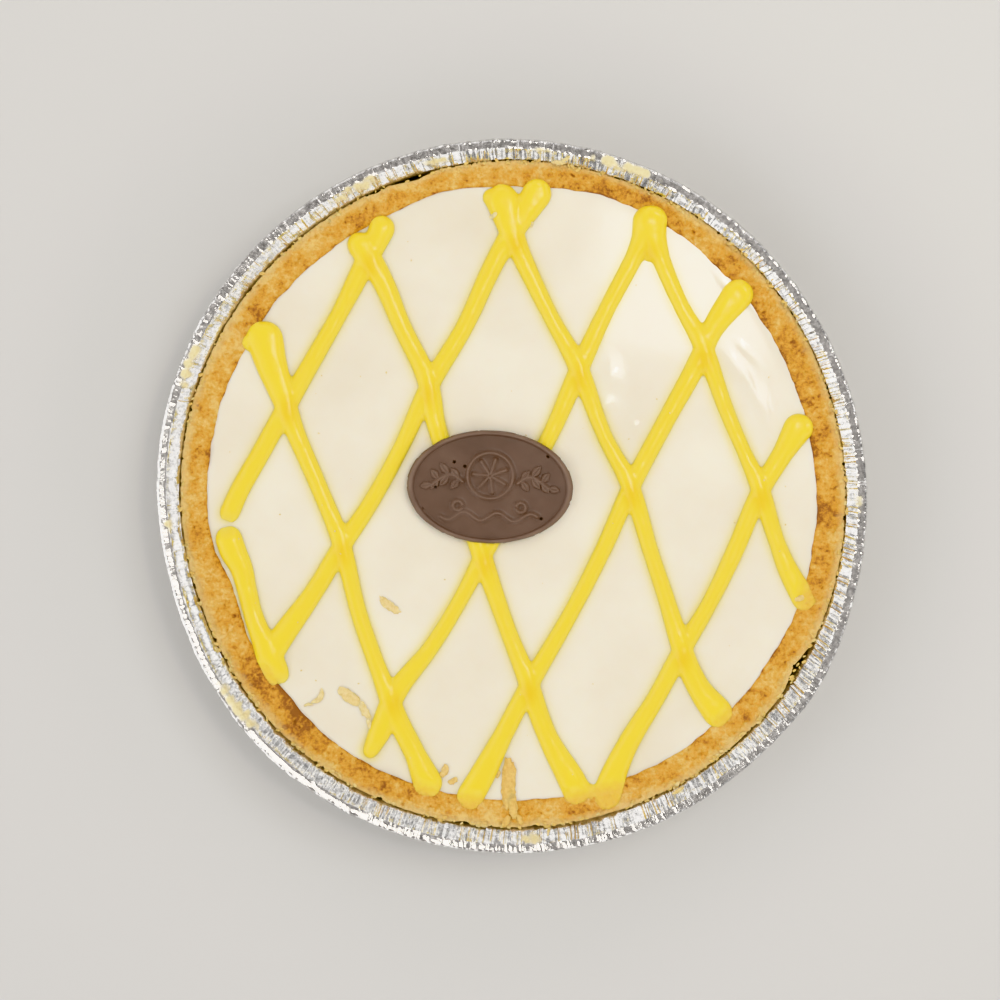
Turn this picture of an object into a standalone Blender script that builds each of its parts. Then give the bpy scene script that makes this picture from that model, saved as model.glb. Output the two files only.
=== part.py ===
"""A lemon bakewell tart in its foil dish.

Four pieces: the fluted foil dish, the pastry case with its filling as one solid, the white
icing with its lattice of thick yellow strokes, and the oval chocolate plaque on top.
Metres, +Z up. The origin is the middle of the dish's base, on the surface it stands on.
"""

import math

import bmesh
import bpy
from mathutils import Matrix, Vector, noise

# Foil dish
RIM_RADIUS = 0.0891
RIM_HEIGHT = 0.0250
FOIL = 0.00015
WALL_DRAFT = math.radians(20)
FLANGE_WIDTH = 0.0019
BEAD_RADIUS = 0.00062
BEAD_TURN = math.radians(225)
BEAD_STEPS = 4
BASE_CORNER = 0.0032
CORNER_STEPS = 2
FLUTES = 72
FLUTE_DEPTH = 0.00025
# Where the rim is out of round: angle, spread (degrees) and how far it moves outwards
RIM_SWELLS = [
    (30, 38, -0.00075),
    (115, 38, 0.0006),
    (197, 18, -0.00135),
    (300, 30, 0.0004),
    (329, 11, 0.0011),
]

# Pastry case, with the baked filling that it hides
GAP = 0.0003
CRUST_INNER = 0.0768
CRUST_OUTER = 0.0832
CRUST_SHOULDER = 0.0198
CRUST_LIP = 0.0206
CRUST_CROWN = 0.0013
CRUST_STEPS = 5
CRUST_LUMP = 0.0006
CRUST_LUMP_SIZE = 0.0075
CRUST_RAGGED = 0.00035
# Where the crust's inner edge stands back from the icing (+) or leans over it (-)
INNER_SWELLS = [
    (15, 22, -0.0010),
    (71, 17, 0.0018),
    (102, 9, 0.0014),
    (200, 9, -0.0016),
    (224, 7, -0.0009),
]
# The same for its outer edge
OUTER_SWELLS = [(15, 22, -0.0004), (88, 12, 0.0004), (200, 24, -0.0006), (325, 22, 0.0004)]
# The tart doesn't lie quite in the middle of its dish
TART_SHIFT = Vector((0.0003, 0.0005, 0.0))

# Icing
ICING_TOP = 0.0204
ICING_DEPTH = 0.0030
ICING_ROWS = (0.30, 0.58, 0.82)
ICING_WAVE = 0.00015
ICING_WAVE_SIZE = 0.030
ROUND_STEPS = 2 * FLUTES

# Yellow strokes. A stroke's route runs through a few places, blob to blob, in millimetres
STROKE_STEP = 0.0068
STROKE_BEND_STEP = 0.0005
SETTLE_LIMIT = 0.0026
SETTLE_SCALE = 0.0029
CROSSING_LIFT = 0.0009
CROSSING_SPREAD = 0.0045
END_MARGIN = 0.0007
BLOB_REACH = 0.0075
TIP_SHARES = (0.06, 0.35, 1.0)
PRESSED_MARGIN = 0.0068
# The ones laid first: route, width, width of the first and of the last blob
LOWER_STROKES = [
    ([(-32.5, 68), (-43.5, 46.5), (-55.5, 25.5), (-71, -3)], 5.2, 6.4, 6.4),
    ([(6, 77.5), (-4.5, 59.5), (-20.5, 29), (-36.5, -2), (-50, -23), (-61, -39)], 4.8, 7.6, 7.0),
    ([(34, 70), (23.5, 47), (10, 17), (-6.5, -12.5), (-20.5, -37), (-36, -64)], 4.9, 7.6, 5.6),
    ([(56.5, 51.5), (47, 35.5), (30, 3.5), (15, -28.5), (4.5, -46.5), (-10, -74.5)], 5.0, 8.0, 6.6),
    ([(72, 18.5), (63, 3), (50, -26), (36.5, -50.5), (24.5, -73.5)], 5.2, 7.6, 7.8),
]
# The ones laid over them
UPPER_STROKES = [
    ([(-62.5, 41), (-54, 17), (-42.5, -11), (-38.5, -28), (-29, -55), (-21.5, -71.5)], 5.2, 8.0, 7.8),
    ([(-38, 65.5), (-27.5, 44), (-18.5, 18.5), (-6.5, -16), (4.5, -46), (16, -72.5)], 5.2, 6.6, 7.6),
    ([(-2, 73.5), (10, 46.5), (23.5, 16.5), (35.5, -13.5), (43.5, -37.5), (52, -53.5)], 4.7, 7.0, 7.8),
    ([(36, 69.5), (42, 50), (54.5, 22), (63, 3), (70, -17.5), (73.5, -24.5)], 4.6, 7.4, 6.6),
    ([(-68.5, -9), (-66, -22), (-59.5, -40.5)], 6.0, 7.4, 7.2),
]

# Chocolate plaque
PLAQUE_CENTRE = (-0.0055, 0.0036)
PLAQUE_HALF_LENGTH = 0.0208
PLAQUE_HALF_WIDTH = 0.0142
PLAQUE_TURN = math.radians(-2)
PLAQUE_REST = 0.0215
PLAQUE_THICKNESS = 0.0021
PLAQUE_RIM_WIDTH = 0.0012
PLAQUE_FIELD_DROP = 0.00045
PLAQUE_FIELD_SLOPE = 0.00027
PLAQUE_EDGE = 0.00028
PLAQUE_SIDES = 56

MM = 0.001
MERGE = 0.00001


def clear_scene():
    for thing in list(bpy.data.objects):
        bpy.data.objects.remove(thing, do_unlink=True)


def new_collection(name):
    collection = bpy.data.collections.new(name)
    bpy.context.scene.collection.children.link(collection)
    return collection


def new_object(name, mesh, collection):
    thing = bpy.data.objects.new(name, mesh)
    collection.objects.link(thing)
    return thing


def finish(thing, colour, roughness, metallic=0.0):
    """One Principled material of its own, named after the piece."""
    material = bpy.data.materials.new(thing.name)
    material.use_nodes = True
    shader = material.node_tree.nodes["Principled BSDF"]
    shader.inputs["Base Color"].default_value = (*colour, 1.0)
    shader.inputs["Roughness"].default_value = roughness
    shader.inputs["Metallic"].default_value = metallic
    thing.data.materials.clear()
    thing.data.materials.append(material)
    thing.data.shade_smooth()
    thing.data.set_sharp_from_angle(angle=math.radians(35))


def baked_mesh(thing):
    """The mesh that an object shows with its modifiers or bevel, with its doubles merged."""
    bpy.context.view_layer.update()
    seen = thing.evaluated_get(bpy.context.evaluated_depsgraph_get())
    mesh = bpy.data.meshes.new_from_object(seen)
    edit = bmesh.new()
    edit.from_mesh(mesh)
    bmesh.ops.remove_doubles(edit, verts=edit.verts, dist=MERGE)
    edit.to_mesh(mesh)
    edit.free()
    return mesh


def turned(name, profile, collection):
    """A profile of (radius, height) pairs, turned once round the Z axis by a Screw."""
    mesh = bpy.data.meshes.new(name + "_profile")
    points = [(radius, 0.0, height) for radius, height in profile]
    mesh.from_pydata(points, [(k, k + 1) for k in range(len(points) - 1)], [])
    line = new_object(name + "_profile", mesh, collection)
    screw = line.modifiers.new("turn", "SCREW")
    screw.axis = "Z"
    screw.steps = ROUND_STEPS
    screw.render_steps = ROUND_STEPS
    screw.use_merge_vertices = True
    screw.merge_threshold = MERGE
    thing = new_object(name, baked_mesh(line), collection)
    bpy.data.objects.remove(line, do_unlink=True)
    bpy.data.meshes.remove(mesh)
    return thing


def reshape(mesh, rule, centre=Vector((0, 0, 0))):
    """Move every point by a rule that takes and gives its angle's radius and height."""
    for point in mesh.vertices:
        radius = math.hypot(point.co.x, point.co.y)
        angle = math.atan2(point.co.y, point.co.x)
        radius, height = rule(angle, radius, point.co.z)
        point.co = centre + Vector((radius * math.cos(angle), radius * math.sin(angle), height))


def swell(angle, places):
    """How far an edge moves outwards at an angle, from its few named places."""
    total = 0.0
    for degrees, spread, amount in places:
        away = (math.degrees(angle) - degrees + 180) % 360 - 180
        total += amount * math.exp(-((away / spread) ** 2))
    return total


def ring_noise(angle, lumps, seed):
    """Noise that closes on itself round the tart."""
    return noise.noise(Vector((lumps * math.cos(angle), lumps * math.sin(angle), seed)))


def wall_radius(height):
    """Outside of the foil's sloping wall, without its flutes."""
    flange_inner = RIM_RADIUS - BEAD_RADIUS - FLANGE_WIDTH
    return flange_inner - (RIM_HEIGHT - height) * math.tan(WALL_DRAFT)


def flat_radius():
    """Where the rounded corner under the wall meets the flat base."""
    return wall_radius(0.0) - BASE_CORNER * math.tan((math.pi / 2 - WALL_DRAFT) / 2)


# Foil dish


def dish_profile():
    """From the curled end of the bead, over the flange and down the wall to the base."""
    bead_middle = (RIM_RADIUS - BEAD_RADIUS, RIM_HEIGHT - BEAD_RADIUS)
    profile = []
    for k in range(BEAD_STEPS + 1):
        turn = math.pi / 2 - BEAD_TURN * (1 - k / BEAD_STEPS)
        radius = bead_middle[0] + BEAD_RADIUS * math.cos(turn)
        profile.append((radius, bead_middle[1] + BEAD_RADIUS * math.sin(turn)))
    profile.append((wall_radius(RIM_HEIGHT), RIM_HEIGHT))
    for k in range(CORNER_STEPS + 1):
        turn = -WALL_DRAFT - (math.pi / 2 - WALL_DRAFT) * k / CORNER_STEPS
        radius = flat_radius() + BASE_CORNER * math.cos(turn)
        profile.append((radius, BASE_CORNER * (1.0 + math.sin(turn))))
    profile.append((0.0, 0.0))
    return profile


def dish_rule(angle, radius, height):
    """Flutes up the wall, and a rim a little out of round."""
    up = height / RIM_HEIGHT
    on_wall = height > MERGE and radius < wall_radius(height) + MERGE
    if on_wall:
        radius += FLUTE_DEPTH * math.cos(FLUTES * angle)
    return radius + up * up * swell(angle, RIM_SWELLS), height


def make_foil_tray(collection):
    tray = turned("foil_tray", dish_profile(), collection)
    reshape(tray.data, dish_rule)
    shell = tray.modifiers.new("foil", "SOLIDIFY")
    shell.thickness = FOIL
    shell.offset = -1.0
    finish(tray, (0.60, 0.60, 0.60), 0.28, metallic=1.0)
    return tray


# Pastry case


def room_in_foil(angle, height):
    """How far out the pastry may reach inside the foil, about the dish's own centre."""
    up = height / RIM_HEIGHT
    wall = wall_radius(height) + up * up * swell(angle, RIM_SWELLS)
    return wall - FOIL - FLUTE_DEPTH - GAP


def crust_profile():
    """From the middle of the recess that holds the icing, over the crust, to the base."""
    recess = ICING_TOP - ICING_DEPTH - GAP
    floor = FOIL + GAP
    foot = flat_radius() - FOIL - GAP - TART_SHIFT.length
    profile = [(0.0, recess), (CRUST_INNER, recess)]
    for k in range(CRUST_STEPS + 1):
        along = k / CRUST_STEPS
        radius = CRUST_INNER + (CRUST_OUTER - CRUST_INNER) * along
        lip = CRUST_LIP + (CRUST_SHOULDER - CRUST_LIP) * along
        profile.append((radius, lip + CRUST_CROWN * math.sin(math.pi * along) ** 0.6))
    profile.append((foot, floor))
    profile.append((0.0, floor))
    return profile


def inner_edge(angle):
    """Radius of the crust's inner edge, about the tart's own centre."""
    return CRUST_INNER + swell(angle, INNER_SWELLS) + CRUST_RAGGED * ring_noise(angle, 9.0, 2.5)


def crust_rule(angle, radius, height):
    """Inner and outer edges move by their own rules, and the top between them is lumpy."""
    if radius < CRUST_INNER - GAP:
        return radius, height
    outward = min(1.0, (radius - CRUST_INNER) / (CRUST_OUTER - CRUST_INNER))
    inner_move = inner_edge(angle) - CRUST_INNER
    outer_move = CRUST_RAGGED * ring_noise(angle, 12.0, 7.5) + swell(angle, OUTER_SWELLS)
    if height < FOIL + 2 * GAP:
        outward = 0.0
        inner_move = 0.0
    radius += inner_move * (1.0 - outward) + outer_move * outward
    if height > CRUST_SHOULDER + GAP:
        place = Vector((radius * math.cos(angle), radius * math.sin(angle), 0.0))
        height += CRUST_LUMP * noise.noise(place / CRUST_LUMP_SIZE)
    return radius, height


def beside_foil_rule(angle, radius, height):
    """The foil's wall stops the crust wherever it would reach further."""
    return min(radius, room_in_foil(angle, height)), height


def make_pastry_case(collection):
    case = turned("pastry_case", crust_profile(), collection)
    reshape(case.data, crust_rule, TART_SHIFT)
    reshape(case.data, beside_foil_rule)
    finish(case, (0.62, 0.33, 0.09), 0.75)
    return case


# Icing and its lattice


def icing_rule(angle, radius, height):
    """The edge keeps a gap to the crust all round, and the top has a slight wave."""
    radius *= (inner_edge(angle) - GAP) / CRUST_INNER
    if height > ICING_TOP - GAP:
        place = Vector((radius * math.cos(angle), radius * math.sin(angle), 4.0))
        height += ICING_WAVE * noise.noise(place / ICING_WAVE_SIZE)
    return radius, height


def smooth_route(places):
    """Closely spaced points on a Catmull-Rom curve through the places."""
    places = [Vector((x * MM, y * MM)) for x, y in places]
    ends = [2 * places[0] - places[1]] + places + [2 * places[-1] - places[-2]]
    route = []
    for before, start, end, after in zip(ends, ends[1:], ends[2:], ends[3:]):
        count = round((end - start).length / STROKE_BEND_STEP)
        for k in range(count):
            t = k / count
            bend = 2 * before - 5 * start + 4 * end - after
            twist = 3 * start - before - 3 * end + after
            route.append(start + 0.5 * (t * (end - before) + t * t * bend + t**3 * twist))
    route.append(places[-1])
    return route


def kept_on_icing(route, first_blob, last_blob):
    """The route without what would carry a blob over the crust."""

    def fits(place, blob):
        own = place - TART_SHIFT.xy
        edge = inner_edge(math.atan2(own.y, own.x)) - GAP - END_MARGIN
        return own.length + blob < edge

    while not fits(route[0], first_blob):
        route = route[1:]
    while not fits(route[-1], last_blob):
        route = route[:-1]
    return route


def stroke_stations(route, first_blob, last_blob):
    """Points along the stroke as (place, distance to either end), from tip to tip."""
    tips = [route[0] + (route[0] - route[4]).normalized() * first_blob]
    tips.append(route[-1] + (route[-1] - route[-5]).normalized() * last_blob)
    line = [tips[0]] + route + [tips[1]]
    run = [0.0]
    for start, end in zip(line, line[1:]):
        run.append(run[-1] + (end - start).length)
    whole = run[-1]
    starts = [first_blob * share for share in TIP_SHARES]
    stops = [whole - last_blob * share for share in reversed(TIP_SHARES)]
    count = round((stops[0] - starts[-1]) / STROKE_STEP)
    middle = [starts[-1] + (stops[0] - starts[-1]) * k / count for k in range(1, count)]
    stations = []
    for distance in starts + middle + stops:
        k = max(i for i, value in enumerate(run[:-1]) if value <= distance)
        share = (distance - run[k]) / (run[k + 1] - run[k])
        stations.append((line[k].lerp(line[k + 1], share), distance, whole - distance))
    return stations


def stroke_radius(half, blob, distance):
    """Half the stroke's width at a distance from its tip: a round end, then a taper."""
    size = half + (blob - half) * math.exp(-((distance / BLOB_REACH) ** 2))
    if distance < blob:
        size *= math.sqrt(1.0 - (1.0 - distance / blob) ** 2)
    return size


def stroke_stations_and_sizes(stroke):
    """Each station of a stroke as its place and half its width there."""
    places, width, first_width, last_width = stroke
    half = width * MM / 2
    first_blob = first_width * MM / 2
    last_blob = last_width * MM / 2
    route = kept_on_icing(smooth_route(places), first_blob, last_blob)
    sized = []
    for place, from_first, from_last in stroke_stations(route, first_blob, last_blob):
        if from_first < from_last:
            sized.append((place, stroke_radius(half, first_blob, from_first)))
        else:
            sized.append((place, stroke_radius(half, last_blob, from_last)))
    return sized


def under_plaque(place):
    """True within the plaque's outline and a little round it, where strokes are pressed flat."""
    own = Matrix.Rotation(-PLAQUE_TURN, 2) @ (place - Vector(PLAQUE_CENTRE))
    reach_x = own.x / (PLAQUE_HALF_LENGTH + PRESSED_MARGIN)
    reach_y = own.y / (PLAQUE_HALF_WIDTH + PRESSED_MARGIN)
    return reach_x**2 + reach_y**2 < 1.0


def make_stroke(name, sized, laid, collection):
    """A round bead of icing that settles into a low one, and humps over those it crosses."""
    curve = bpy.data.curves.new(name, "CURVE")
    curve.dimensions = "3D"
    curve.bevel_depth = 1.0
    curve.bevel_resolution = 2
    curve.use_fill_caps = True
    spline = curve.splines.new("POLY")
    spline.points.add(len(sized) - 1)
    for point, (place, size) in zip(spline.points, sized):
        lift = 0.0
        for other, _ in laid:
            away = (other - place).length / CROSSING_SPREAD
            lift = max(lift, CROSSING_LIFT * math.exp(-(away**2)))
        point.co = (place.x, place.y, lift, 1.0)
        point.radius = size
    tube = new_object(name + "_line", curve, collection)
    mesh = baked_mesh(tube)
    bpy.data.objects.remove(tube, do_unlink=True)
    for point in mesh.vertices:
        height = SETTLE_LIMIT * math.tanh(point.co.z / SETTLE_SCALE)
        if under_plaque(point.co.xy):
            height = min(height, PLAQUE_REST - GAP - ICING_TOP)
        point.co.z = ICING_TOP + height
    edit = bmesh.new()
    edit.from_mesh(mesh)
    bmesh.ops.recalc_face_normals(edit, faces=edit.faces)
    edit.to_mesh(mesh)
    edit.free()
    new_object(name, mesh, collection)


def make_icing(collection):
    bottom = ICING_TOP - ICING_DEPTH
    profile = [(0.0, ICING_TOP)]
    profile += [(CRUST_INNER * share, ICING_TOP) for share in ICING_ROWS]
    profile += [(CRUST_INNER, ICING_TOP), (CRUST_INNER, bottom), (0.0, bottom)]
    icing = turned("icing", profile, collection)
    reshape(icing.data, icing_rule, TART_SHIFT)

    strokes = new_collection("strokes")
    lower = [stroke_stations_and_sizes(stroke) for stroke in LOWER_STROKES]
    upper = [stroke_stations_and_sizes(stroke) for stroke in UPPER_STROKES]
    laid = [station for sized in lower for station in sized]
    for k, sized in enumerate(lower):
        make_stroke(f"lower_{k}", sized, [], strokes)
    for k, sized in enumerate(upper):
        make_stroke(f"upper_{k}", sized, laid, strokes)

    join = icing.modifiers.new("lattice", "BOOLEAN")
    join.operation = "UNION"
    join.operand_type = "COLLECTION"
    join.collection = strokes
    join.solver = "EXACT"
    join.use_self = True
    icing.data = baked_mesh(icing)
    icing.modifiers.clear()
    for thing in list(strokes.objects):
        bpy.data.objects.remove(thing, do_unlink=True)
    bpy.data.collections.remove(strokes)
    finish(icing, (0.86, 0.82, 0.72), 0.25)
    return icing


# Chocolate plaque


def make_plaque(collection):
    """An oval slab with a raised rim round a flat field."""
    edit = bmesh.new()
    bmesh.ops.create_circle(edit, cap_ends=True, segments=PLAQUE_SIDES, radius=1.0)
    size = Vector((PLAQUE_HALF_LENGTH, PLAQUE_HALF_WIDTH, 1.0))
    bmesh.ops.scale(edit, vec=size, verts=edit.verts)
    top = bmesh.ops.extrude_face_region(edit, geom=edit.faces[:])["geom"]
    raised = [item for item in top if isinstance(item, bmesh.types.BMVert)]
    bmesh.ops.translate(edit, vec=(0, 0, PLAQUE_THICKNESS), verts=raised)
    field = [item for item in top if isinstance(item, bmesh.types.BMFace)]
    bmesh.ops.inset_region(edit, faces=field, thickness=PLAQUE_RIM_WIDTH)
    slope = PLAQUE_FIELD_SLOPE
    bmesh.ops.inset_region(edit, faces=field, thickness=slope, depth=-PLAQUE_FIELD_DROP)
    bmesh.ops.recalc_face_normals(edit, faces=edit.faces)
    mesh = bpy.data.meshes.new("chocolate_plaque")
    edit.to_mesh(mesh)
    edit.free()
    plaque = new_object("chocolate_plaque", mesh, collection)
    plaque.location = (*PLAQUE_CENTRE, PLAQUE_REST)
    plaque.rotation_euler = (0.0, 0.0, PLAQUE_TURN)
    edge = plaque.modifiers.new("edge", "BEVEL")
    edge.width = PLAQUE_EDGE
    edge.segments = 1
    edge.limit_method = "ANGLE"
    edge.angle_limit = math.radians(50)
    finish(plaque, (0.17, 0.09, 0.06), 0.38)
    return plaque


def main():
    clear_scene()
    tart = new_collection("lemon_bakewell_tart")
    make_foil_tray(tart)
    make_pastry_case(tart)
    make_icing(tart)
    make_plaque(tart)


main()
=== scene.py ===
# %% [markdown]
# # A lemon bakewell tart in its foil dish
# The tart is a shallow pastry case filled level with white icing. Ten thick strokes of yellow
# icing cross on it as a lattice, and an oval chocolate plaque lies near the middle. It is sold
# in a foil dish with a pleated wall and a rolled rim.
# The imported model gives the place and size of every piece. This lesson builds the surface that
# each one shows: first the foil, then the crust, the icing, the strokes, the plaque and the
# crumbs, and last the light and the camera.

# %% Load the frame
import math

import bpy
import numpy as np
from mathutils import Matrix, Vector, noise


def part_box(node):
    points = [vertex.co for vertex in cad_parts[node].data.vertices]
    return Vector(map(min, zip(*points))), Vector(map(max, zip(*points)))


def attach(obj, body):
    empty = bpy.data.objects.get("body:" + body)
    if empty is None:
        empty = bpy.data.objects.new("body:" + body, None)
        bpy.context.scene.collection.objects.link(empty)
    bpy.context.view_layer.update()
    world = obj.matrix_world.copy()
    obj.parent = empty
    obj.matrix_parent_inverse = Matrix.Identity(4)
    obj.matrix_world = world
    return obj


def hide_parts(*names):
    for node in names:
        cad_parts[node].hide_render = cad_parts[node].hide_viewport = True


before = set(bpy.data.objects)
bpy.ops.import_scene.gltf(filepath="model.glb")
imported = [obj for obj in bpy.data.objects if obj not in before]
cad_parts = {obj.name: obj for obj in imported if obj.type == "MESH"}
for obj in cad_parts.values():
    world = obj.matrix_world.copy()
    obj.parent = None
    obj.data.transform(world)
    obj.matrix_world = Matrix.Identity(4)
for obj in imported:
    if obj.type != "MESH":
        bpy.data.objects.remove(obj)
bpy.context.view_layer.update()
MM = 0.001
chance = np.random.default_rng(7)
print("frame nodes:", sorted(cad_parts))

# %% [markdown]
# ## Sizes from the frame
# The foil, the crust and the icing are turned about the Z axis. The tart lies a fraction of a
# millimetre off the middle of its dish, as it does when it has been handled. The case's floor
# and the plaque's place and height are read from their boxes; the rest are the part's own sizes.

# %% Sizes from the frame
_, rim_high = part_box("foil_tray")
case_low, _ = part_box("pastry_case")
plaque_low, plaque_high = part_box("chocolate_plaque")
RIM_RADIUS = 0.0891
RIM_Z = 0.0250
CASE_FLOOR = case_low.z
ICING_Z = 0.0204
ICING_EDGE = 0.0768
CRUST_OUTER = 0.08375
TART_X, TART_Y = 0.0003, 0.0005
# The foil's wall at the height of the crust's edge
WALL_INSIDE = 0.08386
print(f"rim {RIM_RADIUS * 2000:.1f} mm across and {rim_high.z * 1000:.1f} mm high")

# %% [markdown]
# ## Edges that aren't true circles
# The dish has been handled, so its rim is pushed in and out at a few places, and the crust's
# edges wander where a thumb pressed the pastry. Each place is an angle, how far it spreads and
# how much it moves, which is easier to set than a drawn outline.

# %% Places where an edge leaves its circle
RIM_SWELLS = [(28, 38, -0.75), (115, 38, 0.6), (195, 20, -1.35), (300, 30, 0.45), (329, 12, 1.1)]
INNER_SWELLS = [(15, 22, -1.0), (71, 17, 1.8), (102, 9, 1.4), (199, 8, -3.0), (213, 7, -0.8), (224, 7, -0.9)]
OUTER_SWELLS = [(15, 22, -0.4), (88, 12, 0.4), (200, 24, -0.6), (325, 22, 0.4)]
CHIPS = [(107, 3, -0.9), (114, 1.2, -0.5), (329.5, 3.5, -1.3), (261.5, 1.2, -0.6), (246, 0.9, -0.5),
         (274, 0.8, -0.5)]


def turn_from(degrees, middle):
    """How far round each angle lies from a middle one, between -180 and 180 degrees."""
    return (degrees - middle + 180) % 360 - 180


def swell(angle, places):
    """How far an edge moves outwards at each angle, in metres."""
    total = np.zeros_like(angle)
    for middle, spread, amount in places:
        total += amount * MM * np.exp(-((turn_from(np.degrees(angle), middle) / spread) ** 2))
    return total


def noise_at(x, y, z, size):
    """Smooth noise, about -1 to 1, whose lumps have the given size in metres."""
    places = np.stack([x, y, z], axis=1) / size
    return np.array([noise.noise(Vector(place)) for place in places.tolist()])


# %% [markdown]
# ## A way to turn a profile
# The foil, the case and the icing are turned shapes. One vertex is drawn out into a profile by
# extruding, and a Screw modifier turns it round the Z axis. The Screw is quicker than the Spin
# tool with a thousand steps or more, and its merging closes the seam and both poles.

# %% Draw a profile and turn it


def select_only(*pieces):
    """Select these pieces, with the last one active."""
    bpy.ops.object.select_all(action="DESELECT")
    for piece in pieces:
        piece.select_set(True)
    bpy.context.view_layer.objects.active = pieces[-1]


def apply_modifier(piece, modifier):
    select_only(piece)
    bpy.ops.object.modifier_apply(modifier=modifier.name)


def turned(name, profile, columns):
    """Draw (radius, height) points by extruding one vertex, and turn them round Z."""
    bpy.ops.object.select_all(action="DESELECT")
    bpy.ops.mesh.primitive_plane_add(size=0.001, location=(0, 0, 0))
    piece = bpy.context.object
    piece.name = name
    piece.data.name = name
    bpy.ops.object.mode_set(mode="EDIT")
    bpy.ops.mesh.select_all(action="SELECT")
    bpy.ops.mesh.merge(type="CENTER")
    bpy.ops.transform.translate(value=(profile[0][0], 0, profile[0][1]))
    for (radius, height), (wider, higher) in zip(profile, profile[1:]):
        step = {"value": (wider - radius, 0, higher - height)}
        bpy.ops.mesh.extrude_region_move(TRANSFORM_OT_translate=step)
    bpy.ops.object.mode_set(mode="OBJECT")
    screw = piece.modifiers.new("turn", "SCREW")
    screw.steps = columns
    screw.render_steps = columns
    screw.use_merge_vertices = True
    screw.merge_threshold = 0.000004
    apply_modifier(piece, screw)
    bpy.ops.object.mode_set(mode="EDIT")
    bpy.ops.mesh.select_all(action="SELECT")
    bpy.ops.mesh.normals_make_consistent(inside=False)
    bpy.ops.object.mode_set(mode="OBJECT")
    return piece


def points_of(piece):
    """The piece's vertices as an array."""
    flat = np.zeros(len(piece.data.vertices) * 3)
    piece.data.vertices.foreach_get("co", flat)
    return flat.reshape(-1, 3)


def put_points(piece, points):
    """Move the piece's vertices to these places."""
    piece.data.vertices.foreach_set("co", points.ravel())
    piece.data.update()


def rows_and_columns(points, profile, columns):
    """For each point of a turned shape, its step round the axis and its place in the profile."""
    radius = np.hypot(points[:, 0], points[:, 1])
    angle = np.arctan2(points[:, 1], points[:, 0]) % (2 * math.pi)
    column = np.rint(angle / (2 * math.pi) * columns).astype(int) % columns
    drawn = np.array(profile)
    away = (radius[:, None] - drawn[:, 0]) ** 2 + (points[:, 2][:, None] - drawn[:, 1]) ** 2
    return column, away.argmin(axis=1), radius, angle


def note(piece, name, values):
    """Store one number for each vertex, for the piece's material to read."""
    attribute = piece.data.attributes.new(name, "FLOAT", "POINT")
    attribute.data.foreach_set("value", values)


def distance_to(lines, x, y):
    """Distance from each point to the nearest of the lines, in millimetres."""
    nearest = np.full(len(x), 99.0)
    for line in lines:
        for (ax, ay), (bx, by) in zip(line, line[1:]):
            dx, dy = bx - ax, by - ay
            share = np.clip(((x - ax) * dx + (y - ay) * dy) / (dx * dx + dy * dy), 0, 1)
            nearest = np.minimum(nearest, np.hypot(x - ax - dx * share, y - ay - dy * share))
    return nearest


def smooth_by_angle(piece, degrees):
    """Shade smooth, but keep the folds that are sharper than this."""
    select_only(piece)
    bpy.ops.object.shade_smooth_by_angle(angle=math.radians(degrees), keep_sharp_edges=False)


# %% [markdown]
# ## The foil dish: its profile
# A foil dish is stamped from one flat disc, so it has a plain base with a stiffening ring, a
# rounded corner, a steep wall, a pleated shoulder that leans out, a narrow flange and a rolled
# bead. The profile runs up the inside, over the bead and down again outside, so that the foil
# has its thickness and the shape is closed.

# %% Profile of the foil dish
FOIL = 0.00013
WALL_DRAFT = math.tan(math.radians(20))
BEAD = 0.00062
FLANGE_INNER = RIM_RADIUS - BEAD - 0.0019
CORNER = 0.0032


def wall_radius(height):
    """The wall of the frame's dish, without its flutes."""
    return FLANGE_INNER - (RIM_Z - height) * WALL_DRAFT


flat_radius = wall_radius(0.0) - CORNER * math.tan(math.radians(35))
foil_profile = [(0.0, FOIL), (0.0584, FOIL), (0.0590, 0.0006), (0.0612, 0.0006), (0.0618, FOIL)]
for turn in np.radians([-90, -60, -40, -20]):
    reach = CORNER - FOIL
    foil_profile.append((flat_radius + reach * math.cos(turn), CORNER + reach * math.sin(turn)))
base_rows = len(foil_profile)
foil_profile += [(wall_radius(z) - FOIL, z) for z in (0.0075, 0.0130)]
foil_profile += [(0.0834, 0.0170), (0.08378, 0.0190), (WALL_INSIDE, 0.0205), (0.0839, 0.0214)]
foil_profile += [(0.0841, 0.0220), (0.0845, 0.02245), (0.08495, 0.0229), (0.0854, 0.02333)]
foil_profile += [(0.08585, 0.02375), (0.0863, 0.02418), (0.08672, 0.0246)]
flange_row = len(foil_profile)
foil_profile += [(0.08702, 0.0246), (0.08738, 0.02468), (0.08775, 0.02477)]
foil_profile += [(0.0881, 0.02486), (0.0884, 0.02494)]
bead_row = len(foil_profile)
bead_z = RIM_Z - BEAD - 0.00006
for turn in np.radians([58, 30, 0, -35, -75, -115, -160]):
    around = (RIM_RADIUS - BEAD + BEAD * math.cos(turn), bead_z + BEAD * math.sin(turn))
    foil_profile.append(around)
under_row = len(foil_profile)
foil_profile += [(0.0879, 0.02462), (0.0869, 0.02432), (0.0861, 0.02368), (0.08525, 0.02285)]
foil_profile += [(0.08442, 0.0220), (0.0841, 0.0213), (0.08395, 0.0190)]
foil_profile += [(wall_radius(z), z) for z in (0.0150, 0.0075)]
for turn in np.radians([-20, -50, -90]):
    foil_profile.append((flat_radius + CORNER * math.cos(turn), CORNER + CORNER * math.sin(turn)))
foil_profile += [(0.0619, 0.0), (0.0613, 0.00045), (0.0589, 0.00045), (0.0583, 0.0), (0.0, 0.0)]
print(len(foil_profile), "points in the foil's profile")

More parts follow.
